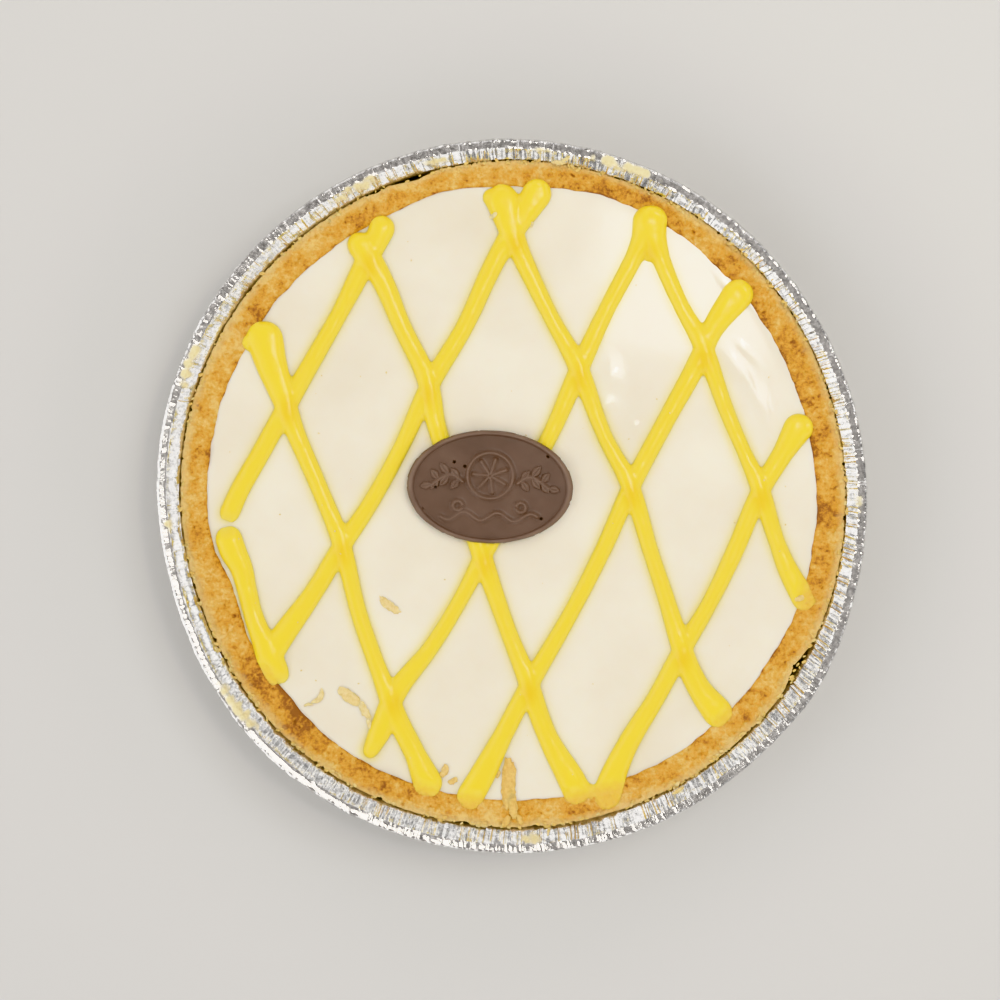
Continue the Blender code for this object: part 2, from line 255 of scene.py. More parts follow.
# %% [markdown]
# ## The foil dish: pleats
# When the disc is pressed into a dish the wall has too much metal, which folds into some 480
# fine pleats. No two are alike, so each gets its own width and height from a seeded draw.
# Four columns of points a pleat give it two steep sides and a flat crest, which is what catches
# the light. The pleats lean a little, and on the left the foil has been rubbed nearly flat
# and creased along the rim instead.

# %% Turn the foil and lay out its pleats
PLEATS = 480
COLUMNS = PLEATS * 4
foil = turned("foil_dish", foil_profile, COLUMNS)
points = points_of(foil)
column, row, radius, angle = rows_and_columns(points, foil_profile, COLUMNS)

widths = chance.uniform(0.45, 1.55, PLEATS)
widths *= 2 * math.pi / widths.sum()
starts = np.cumsum(widths) - widths
crest = chance.uniform(0.25, 1.2, PLEATS)
# A narrow pleat is also a low one, or its sides would stand too steep
crest *= np.clip(widths * PLEATS / (2 * math.pi), 0.45, 1.1)
shares = np.stack(
    [np.zeros(PLEATS), chance.uniform(0.26, 0.40, PLEATS), chance.uniform(0.50, 0.66, PLEATS),
     chance.uniform(0.76, 0.88, PLEATS)], axis=1)
column_angle = (starts[:, None] + widths[:, None] * shares).ravel()
falls = np.stack([np.zeros(PLEATS), np.ones(PLEATS), chance.uniform(0.4, 1.0, PLEATS),
                  chance.uniform(0.0, 0.5, PLEATS)], axis=1)
column_fold = (crest[:, None] * falls).ravel()
lean = chance.uniform(-1, 1, PLEATS)
lean = np.convolve(np.concatenate([lean[-2:], lean, lean[:2]]), [0.2, 0.5, 1, 0.5, 0.2], "valid")
column_lean = np.repeat(lean * widths * 0.35, 4)
# Sorted, so that no pleat leans through the next one
leaned_low = np.sort(column_angle - 0.5 * column_lean)
leaned_high = np.sort(column_angle + 0.5 * column_lean)
crimp = chance.uniform(-1, 1, COLUMNS)
tip_over = chance.uniform(-1, 1, COLUMNS) * 0.5 + np.repeat(chance.uniform(-1, 1, PLEATS), 4)

# %% Press the pleats in
profile_array = np.array(foil_profile)
tangent = np.gradient(profile_array, axis=0)
tangent /= np.maximum(np.hypot(tangent[:, 0], tangent[:, 1]), 1e-9)[:, None]
outward = np.stack([-tangent[:, 1], tangent[:, 0]], axis=1)
row_depth = np.zeros(len(foil_profile))
row_depth[base_rows - 3:base_rows] = 0.05
wall_heights = profile_array[:, 1] / MM
on_wall = np.arange(len(foil_profile)) >= base_rows
on_wall &= (np.arange(len(foil_profile)) < flange_row) | (np.arange(len(foil_profile)) >= under_row)
PLEAT_HEIGHTS = [0.5, 3, 8, 13, 19, 20.5, 21.4, 22.0, 22.45, 22.9, 23.4, 23.8, 24.2, 24.6, 24.9]
PLEAT_DEPTHS = [0, 0.16, 0.38, 0.30, 0.12, 0.09, 0.12, 0.18, 0.22, 0.25, 0.25, 0.24, 0.22, 0.18, 0.10]
row_depth[on_wall] = np.interp(wall_heights[on_wall], PLEAT_HEIGHTS, PLEAT_DEPTHS)
crimp_depth = np.zeros(len(foil_profile))
crimp_depth[flange_row:bead_row] = 0.03
crimp_depth[bead_row:under_row] = 0.08
row_z = profile_array[row, 1]
share_up = np.clip((row_z - 0.0205) / 0.0042, 0, 1)
turned_to = leaned_low[column] * (1 - share_up) + leaned_high[column] * share_up
degrees = np.degrees(turned_to)
RUBBED_MIDDLE, RUBBED_SPREAD = 195, 48
rubbed = 0.62 * np.exp(-((turn_from(degrees, RUBBED_MIDDLE) / RUBBED_SPREAD) ** 4))
ring_x, ring_y = np.cos(turned_to) * RIM_RADIUS, np.sin(turned_to) * RIM_RADIUS
still = np.zeros_like(degrees)
crumple = noise_at(ring_x, ring_y, points[:, 2] * 2.5, 0.0021)
dents = noise_at(ring_x, ring_y, points[:, 2] * 1.5 + 0.04, 0.006)
side = np.where(row < under_row, 1.0, -1.0)
push = row_depth[row] * (column_fold[column] - 0.55) * (1 - rubbed) * side
push += crimp_depth[row] * crimp[column] * (1 - 0.6 * rubbed)
push += on_wall[row] * 0.12 * tip_over[column] * (share_up - 0.5) * (row_z > 0.0205) * side
rough_share = np.interp(row_z, [0.002, 0.0205, 0.0222, 0.0246, 0.0247], [1, 0.35, 0.8, 0.8, 0.35])
push += (row >= base_rows) * rough_share * (0.13 * crumple + 0.10 * dents) * side
ridge_rows = {flange_row - 5: 0.16, flange_row - 1: 0.12, flange_row + 1: -0.10, bead_row + 1: 0.14}
ridge = np.array([ridge_rows.get(k, 0.0) for k in range(len(foil_profile))])
along = noise_at(ring_x, ring_y, still + 0.07, 0.011)
push += ridge[row] * rubbed * np.clip(0.6 + 1.6 * along, 0, 1.5)
radius += push * MM * outward[row, 0]
points[:, 2] += push * MM * outward[row, 1]
# The wall lies against the tart, and only the rim keeps to the dish's own middle. Where that
# leaves the shoulder narrow it starts higher, so that it leans out as far everywhere.
pressed = swell(turned_to, OUTER_SWELLS) * np.clip(row_z / 0.02, 0, 1)
narrow = pressed + TART_X * np.cos(turned_to) + TART_Y * np.sin(turned_to) - swell(turned_to, RIM_SWELLS)
points[:, 2] += 0.8 * narrow * np.interp(row_z, [0.0204, 0.0219, 0.0246], [0, 1, 0])
radius += share_up * swell(turned_to, RIM_SWELLS) + (1 - share_up) * pressed
radius += 0.12 * MM * (row_z > 0.022) * noise_at(ring_x, ring_y, still + 0.11, 0.004)
points[:, 0] = radius * np.cos(turned_to) + (1 - share_up) * TART_X
points[:, 1] = radius * np.sin(turned_to) + (1 - share_up) * TART_Y
points[:, 2] = np.maximum(points[:, 2], 0)
put_points(foil, points)

# %% [markdown]
# ## The foil dish: smears
# Where pastry was pressed over the rim it left pale greasy flakes on the flange and the
# shoulder. They are films thinner than paper, so they are part of the foil's surface: a mask
# for the material, and a slight rise of the points it covers.

# %% Mark the smears
# Each smear: its middle and spread in degrees, its middle and half width in millimetres
SMEARS = [(71.3, 5.8, 87.2, 1.3), (86, 2.0, 86.9, 0.9), (102.5, 2.4, 86.2, 0.8), (115.5, 3.4, 86.6, 1.3),
          (119.5, 1.3, 86.0, 0.9), (157, 5.0, 86.9, 1.3), (184, 1.4, 85.9, 1.1), (216.5, 5.6, 86.4, 1.4),
          (273.5, 1.6, 85.6, 1.3), (359.5, 1.6, 86.9, 1.0), (300, 0.9, 84.8, 0.7)]
smear = np.zeros(len(points))
reach = np.hypot(points[:, 0], points[:, 1]) / MM
for middle, spread, middle_reach, half_width in SMEARS:
    away = turn_from(degrees, middle) / spread
    smear = np.maximum(smear, 1.25 - np.hypot(away, (reach - middle_reach) / half_width) ** 2)
near_smear = smear > 0
smear -= 0.35 + 1.3 * noise_at(ring_x, ring_y, points[:, 2], 0.0016) + 0.5 * crumple
smear = np.clip(smear * 1.3, 0, 0.85) * near_smear * (points[:, 2] > 0.0212) * (row < under_row - 5)
points[:, 2] += 0.00012 * smear
put_points(foil, points)
note(foil, "smear", smear)
smooth_by_angle(foil, 26)
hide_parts("foil_tray")
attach(foil, "root")
print("foil dish:", len(foil.data.polygons), "faces")

# %% [markdown]
# ## The pastry case
# Shortcrust is rolled, pressed into the dish and trimmed, then baked until its top is golden.
# The top is a lumpy band. It rises steeply out of the icing, and is broken and pale at the
# outer edge, where the knife left it. The case is turned like the foil, and then every point
# is pushed by noise of several sizes: thumb marks, crumbs, grains and pits.

# %% Profile of the pastry case
CRUST_SHARES = [0, 0.02, 0.06, 0.12, 0.24, 0.42, 0.62, 0.76, 0.86, 0.93, 0.975, 1.0]
CRUST_HEIGHTS = [20.0, 20.45, 20.9, 21.2, 21.45, 21.62, 21.68, 21.70, 21.73, 21.77, 21.78, 21.6]


def crust_height(outward):
    """Height of the crust's top from its inner edge, 0, to its outer edge, 1."""
    return np.interp(outward, CRUST_SHARES, CRUST_HEIGHTS) * MM


CRUST_STEPS = 30
foot_radius = flat_radius - FOIL - 0.0009
case_profile = [(0.0, 0.0165), (ICING_EDGE - 0.004, 0.0165), (ICING_EDGE - 0.0006, 0.0185)]
for share in np.linspace(0, 1, CRUST_STEPS):
    reach = ICING_EDGE + (CRUST_OUTER - ICING_EDGE) * share
    case_profile.append((reach, float(crust_height(share))))
case_profile += [(CRUST_OUTER - 0.0003, 0.0188), (CRUST_OUTER - 0.0012, 0.0160)]
case_profile += [(foot_radius, CASE_FLOOR), (0.0, CASE_FLOOR)]
CASE_COLUMNS = 2200
case = turned("pastry_crust", case_profile, CASE_COLUMNS)
print(len(case.data.vertices), "points in the case")

# %% Roughen the crust
points = points_of(case)
column, row, radius, angle = rows_and_columns(points, case_profile, CASE_COLUMNS)
x, y = points[:, 0].copy(), points[:, 1].copy()
on_crust = (row >= 3) & (row < 3 + CRUST_STEPS)
share = np.clip((radius - ICING_EDGE) / (CRUST_OUTER - ICING_EDGE), 0, 1)
loose = (row >= 2) & (points[:, 2] > CASE_FLOOR + MM)
ring_x, ring_y = np.cos(angle) * 0.08, np.sin(angle) * 0.08
still = np.zeros_like(angle)


def ring_noise(seed, size):
    """Noise that changes only round the ring."""
    return noise_at(ring_x, ring_y, still + seed, size)


inner_move = swell(angle, INNER_SWELLS) + 0.00035 * ring_noise(0.0, 0.008)
inner_move += 0.00030 * ring_noise(0.01, 0.0028)
broken = ring_noise(0.03, 0.0013)
ragged = 0.00004 + swell(angle, CHIPS) + 0.00012 * ring_noise(0.02, 0.005)
ragged += 0.00012 * ring_noise(0.025, 0.0022)
ragged += 0.00020 * broken - 0.0003 * (broken > 0.38) - 0.0003 * (broken < -0.5)
room = WALL_INSIDE - CRUST_OUTER - 0.00002
outer_move = swell(angle, OUTER_SWELLS) + np.minimum(ragged, room)
radius += loose * (inner_move * (1 - share) + outer_move * share)

thumb = noise_at(x, y, still, 0.0085)
crumb = noise_at(x, y, still + 0.05, 0.0026)
grain = noise_at(x, y, still + 0.09, 0.0012)
fine = noise_at(x, y, still + 0.13, 0.0006)
pits = np.clip(noise_at(x, y, still + 0.17, 0.0011) - 0.48, 0, 1)
top = np.clip(share / 0.12, 0, 1) * np.clip((1.04 - share) / 0.15, 0, 1)
lift = 0.36 * thumb + 0.44 * crumb + 0.34 * grain + 0.26 * fine - 1.3 * pits
ledge = np.clip((share - 0.80) / 0.05, 0, 1) * np.clip(0.4 + 1.2 * ring_noise(0.21, 0.012), 0, 1)
points[:, 2] += on_crust * top * (lift - 0.20 * ledge) * MM
points[:, 0] = radius * np.cos(angle) + TART_X
points[:, 1] = radius * np.sin(angle) + TART_Y
put_points(case, points)

# %% Note how each part of the crust baked, and where shade and light are painted on it
degrees = np.degrees(angle)


def near(middle, spread):
    """1 at the middle angle, falling to 0 over the spread, both in degrees."""
    return np.exp(-((turn_from(degrees, middle) / spread) ** 2))


# High spots brown more; the pits are painted darker, as painted shade
bake_and_shade = 0.20 * thumb + 0.18 * crumb + 0.12 * grain + 0.10 * fine + 0.6 * pits
# Painted shade along the icing's edge, and the paler cut edge outside
bake_and_shade += 0.22 * np.exp(-share / 0.05) - 0.14 * np.clip((share - 0.6) / 0.3, 0, 1)
# Browner at 72 and 222 degrees and paler at 295; the broad terms at 10 and 160 degrees make the right side
# darker and the left lighter, as painted light
bake_and_shade += 0.10 * near(72, 8) + 0.23 * near(222, 14) + 0.08 * near(10, 45) - 0.05 * near(160, 40)
bake_and_shade -= 0.03 + 0.04 * near(295, 25)
note(case, "browning_and_shade", np.clip(bake_and_shade, -0.4, 1))
note(case, "outward", np.where(row >= 3 + CRUST_STEPS, 1.0, share))
smooth_by_angle(case, 70)
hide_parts("pastry_case")
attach(case, "root")

# %% [markdown]
# ## The white icing
# The icing was poured, so it lies nearly level, climbs a little where it wets the crust, and
# keeps faint waves. A turned disc with close rows can carry those waves. Its edge runs on
# under the crust's inner slope, so that the visible line between them is the crust's own.

# %% Pour the icing
ICING_OUTER = 0.0796
ICING_FREE = 0.066
ICING_BOTTOM = ICING_Z - 0.0030
ICING_RINGS, ICING_COLUMNS = 104, 640
icing_profile = [(0.0, ICING_Z)]
icing_profile += [(reach * MM, ICING_Z) for reach in np.linspace(1.5, ICING_OUTER / MM, ICING_RINGS)]
icing_profile += [(ICING_OUTER, ICING_BOTTOM), (0.0, ICING_BOTTOM)]
icing = turned("white_icing", icing_profile, ICING_COLUMNS)
points = points_of(icing)
radius = np.hypot(points[:, 0], points[:, 1])
angle = np.arctan2(points[:, 1], points[:, 0])
edge_radius = ICING_EDGE + swell(angle, INNER_SWELLS)
on_top = points[:, 2] > ICING_Z - MM
stretch = (edge_radius + 0.0008 - ICING_FREE) / (ICING_OUTER - ICING_FREE)
kept = np.where(radius > ICING_FREE, ICING_FREE + (radius - ICING_FREE) * stretch, radius)
scale = kept / np.maximum(radius, 1e-9)
points[:, 0] *= scale
points[:, 1] *= scale
still = np.zeros_like(angle)
wave = 0.022 * noise_at(points[:, 0], points[:, 1], still, 0.019)
wave += 0.003 * noise_at(points[:, 0], points[:, 1], still + 0.05, 0.007)
# Each low ridge: its middle, half length, half width and height, and its turn in degrees
RIDGES = [
    (55.8, 33.0, 5.5, 1.5, 0.16, 118), (60.0, 27.5, 7.0, 1.0, 0.14, 112), (63.5, 22.0, 5.0, 1.2, 0.14, 104),
    (58.0, 37.5, 3.0, 0.9, 0.12, 132), (52.5, 54.0, 4.0, 0.8, 0.12, 128), (24.6, 30.7, 3.2, 2.2, 0.30, 100),
    (23.2, 23.8, 2.2, 1.9, 0.26, 20), (30.6, 18.3, 1.0, 0.9, 0.11, 40), (59.0, -24.0, 4.0, 1.6, 0.08, 30),
    (64.0, -33.0, 3.0, 1.4, 0.07, 60), (50.0, -66.0, 3.5, 1.2, 0.06, 40), (-19.0, 44.0, 2.0, 1.6, 0.06, 0),
]
for ridge_x, ridge_y, length, half_width, height, lean_to in RIDGES:
    t = math.radians(lean_to)
    dx, dy = points[:, 0] / MM - ridge_x, points[:, 1] / MM - ridge_y
    on, off = dx * math.cos(t) + dy * math.sin(t), dy * math.cos(t) - dx * math.sin(t)
    wave += height * np.exp(-((on / length) ** 2) - (off / half_width) ** 2)
meniscus = 0.10 * np.exp(-np.maximum(0, edge_radius - kept) / 0.0012)
points[:, 2] += on_top * (wave + meniscus) * MM
points[:, 0] += TART_X
points[:, 1] += TART_Y
put_points(icing, points)
smooth_by_angle(icing, 50)
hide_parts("icing")
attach(icing, "root")

# %% [markdown]
# ## The yellow strokes
# Thick icing was piped in one pass for each stroke: five one way, then five over them. Each
# stroke starts and ends in a blob where the nozzle stopped. A stroke's route is a short list
# of places it passes, with its width there, in millimetres.

# %% Routes of the strokes
LOWER_STROKES = [
    [(-32.3, 68.0, 6.6), (-37.0, 58.7, 5.4), (-43.4, 46.4, 4.3), (-49.8, 35.3, 4.6),
     (-55.6, 25.3, 5.0), (-63.3, 11.7, 4.9), (-68.5, 2.6, 5.0), (-71.2, -3.2, 5.2)],
    [(6.2, 76.5, 7.6), (0.8, 68.2, 5.8), (-4.4, 59.4, 5.0), (-11.8, 43.7, 4.5),
     (-20.5, 29.1, 4.9), (-27.9, 13.2, 4.1), (-36.6, -2.2, 4.3), (-42.6, -11.0, 4.8),
     (-50.0, -23.1, 4.9), (-58.3, -34.7, 6.2), (-61.1, -39.0, 6.4)],
    [(34.0, 69.6, 8.2), (32.4, 64.8, 5.8), (30.3, 60.5, 4.6), (23.4, 47.3, 4.3), (16.8, 32.9, 5.0),
     (9.8, 16.9, 4.3), (-6.5, -12.5, 4.7), (-13.0, -25.1, 4.0), (-20.5, -37.3, 4.2),
     (-29.6, -49.2, 5.6), (-33.7, -59.2, 5.8), (-36.0, -63.9, 4.2)],
    [(56.3, 51.5, 8.0), (50.2, 43.0, 5.6), (46.8, 35.3, 5.2), (38.6, 20.0, 4.6),
     (30.1, 3.6, 4.7), (23.0, -12.5, 4.3), (15.0, -28.4, 4.1), (4.6, -46.7, 4.9),
     (-2.0, -59.4, 5.0), (-7.0, -69.2, 6.6), (-10.6, -75.6, 7.2)],
    [(71.9, 18.3, 7.6), (68.1, 11.9, 5.4), (62.8, 2.8, 4.8), (56.0, -13.4, 4.6),
     (49.9, -26.2, 4.2), (43.3, -37.7, 4.9), (36.6, -50.3, 4.7), (29.3, -62.6, 5.6),
     (24.9, -73.0, 7.2), (24.2, -75.6, 7.4)],
]
UPPER_STROKES = [
    [(-61.8, 40.5, 9.4), (-60.2, 34.2, 8.0), (-58.6, 29.4, 6.8), (-57.0, 24.8, 5.6), (-54.3, 17.2, 4.8),
     (-48.9, 4.3, 4.5), (-42.9, -11.1, 4.5), (-38.7, -28.4, 4.3), (-34.2, -41.8, 4.4), (-29.2, -55.0, 5.2),
     (-24.5, -64.8, 5.6), (-21.4, -72.0, 7.8)],
    [(-38.0, 64.0, 6.4), (-32.9, 56.3, 5.5), (-27.7, 44.2, 4.8), (-20.8, 29.1, 4.9),
     (-18.8, 18.7, 4.8), (-6.8, -16.0, 4.8), (-1.0, -32.8, 4.3), (4.2, -46.1, 4.9),
     (9.2, -60.2, 5.2), (15.4, -71.6, 7.2), (16.6, -74.2, 7.4)],
    [(-2.4, 74.8, 8.4), (-0.4, 68.0, 6.0), (2.5, 61.1, 4.9), (9.6, 46.4, 4.1), (16.9, 32.9, 4.8),
     (23.2, 16.5, 4.0), (29.9, 3.5, 4.5), (35.2, -13.3, 4.1), (38.6, -23.4, 4.3),
     (43.2, -37.7, 5.0), (47.4, -47.4, 6.0), (52.4, -54.0, 7.8)],
    [(34.6, 69.6, 8.2), (35.8, 64.8, 5.8), (37.3, 60.3, 4.6), (41.9, 49.7, 4.1), (47.9, 38.6, 4.6),
     (54.1, 22.1, 4.0), (58.3, 12.5, 3.7), (62.6, 2.8, 4.5), (67.0, -10.7, 4.2),
     (69.7, -17.3, 5.2), (74.0, -25.0, 6.4)],
    [(-71.4, -9.6, 7.0), (-70.4, -12.6, 7.0), (-68.4, -16.8, 6.0), (-67.0, -22.3, 5.2), (-65.6, -28.3, 5.0),
     (-63.9, -33.4, 5.4), (-61.4, -39.4, 6.6), (-59.6, -44.0, 6.6)],
]
CROSSINGS = [(-55.8, 25.2), (-42.8, -11.0), (-29.8, -49.3), (-20.7, 29.0), (4.4, -46.4), (1.0, 66.0),
             (16.8, 33.0), (30.0, 3.6), (43.3, -37.7), (47.9, 37.6), (62.7, 2.8), (-6.7, -14.0)]
# Each web: its middle, width and length
WEBS = [(x, y - 1.3, 3.3, 7.2) for x, y in CROSSINGS] + [(34.1, 62.0, 3.4, 5.4), (-35.2, 59.6, 4.0, 5.0)]
print(len(LOWER_STROKES) + len(UPPER_STROKES), "strokes")

# %% [markdown]
# ## Piping a stroke
# A Bezier curve through those places gives an even, slightly wandering line, and its radius at
# each place gives the width. A ball at each end makes the blob. The bead then settles: a tanh of
# the height flattens its top more the thicker it is, as soft icing sinks under its own weight.
# Where a stroke was dragged off over the crust its foot is a thin smear, so there it keeps only
# a share of its height.

# %% Pipe a stroke
SINK = 0.8
SETTLE_LIMIT = 0.0029
SETTLE_SCALE = 0.0029
CROSSING_LIFT = 0.0010
CROSSING_SPREAD = 0.0042
CRUST_CLIMB = 0.7
# The share of its height that a smeared or faded foot loses
FOOT_LOSS = 0.88
# Each smeared foot: its angle and spread in degrees
SMEARED_FEET = [(240, 6), (253, 5), (263, 6), (284, 9), (315, 5), (341, 6), (217, 4)]
# Feet that fade on the icing itself: their place and size in millimetres
FADED_FEET = [(-72.2, -5.8, 2.7), (-59.0, -47.2, 3.2)]


def crust_share(x, y):
    """Where a point lies over the crust: 0 at its inner edge and 1 at its outer edge."""
    angle = np.arctan2(y - TART_Y, x - TART_X)
    inner = ICING_EDGE + swell(angle, INNER_SWELLS)
    outer = CRUST_OUTER + swell(angle, OUTER_SWELLS)
    return np.clip((np.hypot(x - TART_X, y - TART_Y) - inner) / (outer - inner), 0, 1), angle


def crust_rise(x, y):
    """How far the ground under a stroke rises where the icing gives way to the crust."""
    share, _ = crust_share(x, y)
    return CRUST_CLIMB * np.maximum(0, crust_height(np.clip(share, 0, 0.8)) - ICING_Z)


def smeared(x, y):
    """How much of a stroke's height is lost where its foot was dragged over the crust."""
    _, angle = crust_share(x, y)
    beyond = np.hypot(x - TART_X, y - TART_Y) - ICING_EDGE - swell(angle, INNER_SWELLS)
    total = np.zeros_like(x)
    for middle, spread in SMEARED_FEET:
        away = turn_from(np.degrees(angle), middle) / spread
        total = np.maximum(total, np.exp(-(away ** 4)))
    return total * np.clip((beyond / MM + 2.4) / 4.2, 0, 1)


def faded(x, y):
    """How much of a stroke's height is lost where its foot thins out on the icing."""
    total = np.zeros_like(x)
    for foot_x, foot_y, size in FADED_FEET:
        away = np.hypot(x / MM - foot_x, y / MM - foot_y) / size
        total = np.maximum(total, np.exp(-(away ** 3)))
    return total


def add_ball(x, y, width, length, turn):
    """A ball of icing, stretched along a direction in the icing's plane."""
    bpy.ops.mesh.primitive_uv_sphere_add(segments=24, ring_count=16, radius=0.5 * MM, location=(0, 0, 0))
    ball = bpy.context.object
    bpy.ops.transform.resize(value=(length, width, width))
    bpy.ops.transform.rotate(value=turn, orient_axis="Z", center_override=(0, 0, 0))
    bpy.ops.transform.translate(value=(x * MM, y * MM, 0))
    bpy.ops.object.transform_apply(location=True, rotation=True, scale=True)
    return ball


def join_into(target, others):
    select_only(*others, target)
    bpy.ops.object.join()


def settle(piece, crossed):
    """Let a bead sink under its own weight, higher where it lies over the points in crossed."""
    points = points_of(piece)
    lift = np.zeros(len(points))
    for place in crossed:
        away = np.hypot(points[:, 0] - place[0], points[:, 1] - place[1])
        lift = np.maximum(lift, CROSSING_LIFT * np.exp(-((away / CROSSING_SPREAD) ** 2)))
    settled = SETTLE_LIMIT * np.tanh((points[:, 2] - SINK * MM + lift) / SETTLE_SCALE)
    lost = np.maximum(smeared(points[:, 0], points[:, 1]), faded(points[:, 0], points[:, 1]))
    settled *= 1 - FOOT_LOSS * lost
    points[:, 2] = ICING_Z + settled + crust_rise(points[:, 0], points[:, 1])
    put_points(piece, points)


def pipe(route, crossed):
    """A bead of icing along the route, with a ball at each end."""
    bpy.ops.object.select_all(action="DESELECT")
    bpy.ops.curve.primitive_bezier_curve_add(location=(0, 0, 0))
    line = bpy.context.object
    line.data.dimensions = "3D"
    line.data.resolution_u = 10
    line.data.bevel_depth = 1.0
    line.data.bevel_resolution = 8
    line.data.use_fill_caps = True
    spline = line.data.splines[0]
    spline.bezier_points.add(len(route) - 2)
    for point, (x, y, width) in zip(spline.bezier_points, route):
        point.handle_left_type = "AUTO"
        point.handle_right_type = "AUTO"
        point.co = (x * MM, y * MM, 0)
        point.radius = math.hypot(width / 2, SINK) * MM
    bpy.ops.object.convert(target="MESH")
    line = bpy.context.object
    ends = [add_ball(x, y, width, width, 0) for x, y, width in (route[0], route[-1])]
    join_into(line, ends)
    settle(line, crossed)
    return line


def along_route(route):
    """Places about two millimetres apart on straight lines through the route."""
    spots = []
    for (x, y, _), (next_x, next_y, _) in zip(route, route[1:]):
        count = max(1, round(math.hypot(next_x - x, next_y - y) / 2))
        for share in np.linspace(0, 1, count, endpoint=False):
            spots.append((MM * (x + (next_x - x) * share), MM * (y + (next_y - y) * share)))
    return spots


beads = [pipe(route, []) for route in LOWER_STROKES]
laid = [spot for route in LOWER_STROKES for spot in along_route(route)]
beads += [pipe(route, laid) for route in UPPER_STROKES]

# %% [markdown]
# ## Melting the strokes together
# While the icing is soft the strokes run into one another: a little web fills the notch below
# each crossing. A voxel remesh of strokes and webs turns them into one skin, and a few rounds
# of smoothing melt the creases. What would be buried in the white icing is cut off, half a
# millimetre under its top, and the cut is filled where it isn't seen.

# %% Fill the notches, and add lumps to three of the ends
for x, y, width, length in WEBS:
    web = add_ball(x, y, width, length, math.radians(90))
    settle(web, [])
    beads.append(web)
for x, y, width in ((-65.2, 39.6, 4.8), (-5.0, 75.6, 5.0), (19.8, -74.4, 4.8)):
    lump = add_ball(x, y, width, width, 0)
    settle(lump, [])
    beads.append(lump)

# %% Join, remesh and trim the lattice
VOXEL = 0.00038
MELT_ROUNDS = 8
CUT_DEPTH = 0.0005
lattice = beads[0]
join_into(lattice, beads[1:])
lattice.name = "yellow_lattice"
lattice.data.name = "yellow_lattice"
skin = lattice.modifiers.new("skin", "REMESH")
skin.mode = "VOXEL"
skin.voxel_size = VOXEL
apply_modifier(lattice, skin)
melt = lattice.modifiers.new("melt", "SMOOTH")
melt.factor = 0.5
melt.iterations = MELT_ROUNDS
apply_modifier(lattice, melt)
bpy.ops.object.mode_set(mode="EDIT")
bpy.ops.mesh.select_all(action="SELECT")
cut = {"plane_co": (0, 0, ICING_Z - CUT_DEPTH), "plane_no": (0, 0, 1)}
bpy.ops.mesh.bisect(use_fill=True, clear_inner=True, **cut)
bpy.ops.object.mode_set(mode="OBJECT")
points = points_of(lattice)
still = np.zeros(len(points))
uneven = 0.14 * noise_at(points[:, 0], points[:, 1], still, 0.0042)
uneven += 0.04 * noise_at(points[:, 0], points[:, 1], points[:, 2], 0.0014)
points[:, 2] += np.where(points[:, 2] > ICING_Z + 0.0004, uneven * MM, 0)
height = points[:, 2] - ICING_Z - crust_rise(points[:, 0], points[:, 1])
note(lattice, "height", height / MM)

# %% Lay the thin feet on the crust's own bumps
bpy.context.view_layer.update()
over_crust = crust_share(points[:, 0], points[:, 1])[0] > 0.02
for spot in np.flatnonzero(over_crust & (height > 0.0001)):
    x, y, z = points[spot]
    _, ground, _, _ = case.ray_cast(Vector((x, y, 0.04)), Vector((0, 0, -1)))
    thin = math.exp(-((height[spot] / 0.0011) ** 2))
    points[spot, 2] = z + thin * max(0.0, ground.z + 0.0001 + 0.6 * height[spot] - z)
put_points(lattice, points)
note(lattice, "smeared", smeared(points[:, 0], points[:, 1]))
pool = np.zeros(len(points))
for x, y, _, _ in WEBS:
    away = np.hypot(points[:, 0] / MM - x, (points[:, 1] / MM - y + 0.9) / 1.6)
    pool = np.maximum(pool, np.exp(-((away / 2.4) ** 2)))
note(lattice, "pool", pool)
smooth_by_angle(lattice, 80)
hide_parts("icing")
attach(lattice, "root")
print("lattice:", len(lattice.data.polygons), "faces")

# %% [markdown]
# ## Painted bounce light and shade beside the strokes
# Beside the strokes the white icing is painted yellower and darker, mostly on the side away from
# the light, as painted yellow bounce light and painted shade. The white icing has points close
# enough to hold it, as a number that fades with the distance to the strokes' middle lines.

# %% Paint bounce light and shade on the white beside the strokes
# Painted shade and yellow bounce light: where it starts and how fast it fades, in millimetres
BOUNCE_SHADE_START, BOUNCE_SHADE_FADE = 2.2, 0.8
middle_lines = [[(x, y) for x, y, _ in route] for route in LOWER_STROKES + UPPER_STROKES]
points = points_of(icing) / MM
away = distance_to(middle_lines, points[:, 0] + 0.2, points[:, 1] - 0.1)
note(icing, "bounce_shade", np.exp(-np.maximum(0, away - BOUNCE_SHADE_START) / BOUNCE_SHADE_FADE))

# %% [markdown]
# ## The chocolate plaque
# The plaque is moulded: an oval slab with a raised rim round a sunken field. An oval plate is
# turned from its profile, then stretched and set in place. The relief on its field is a generic
# one, a slice of lemon between two leafy sprigs over a flourish, raised by the distance to its
# drawn lines. Small air bubbles in the mould left pits.

# %% Profile of the plaque
PLAQUE_X = (plaque_low.x + plaque_high.x) / 2
PLAQUE_Y = (plaque_low.y + plaque_high.y) / 2
PLAQUE_TURN = math.radians(-2)
HALF_LENGTH = 0.0208
HALF_WIDTH = 0.0142
BOTTOM, TOP = plaque_low.z, plaque_high.z
FIELD = TOP - 0.0006
FIELD_SHARE = 0.905
FIELD_RINGS, PLAQUE_COLUMNS = 150, 500
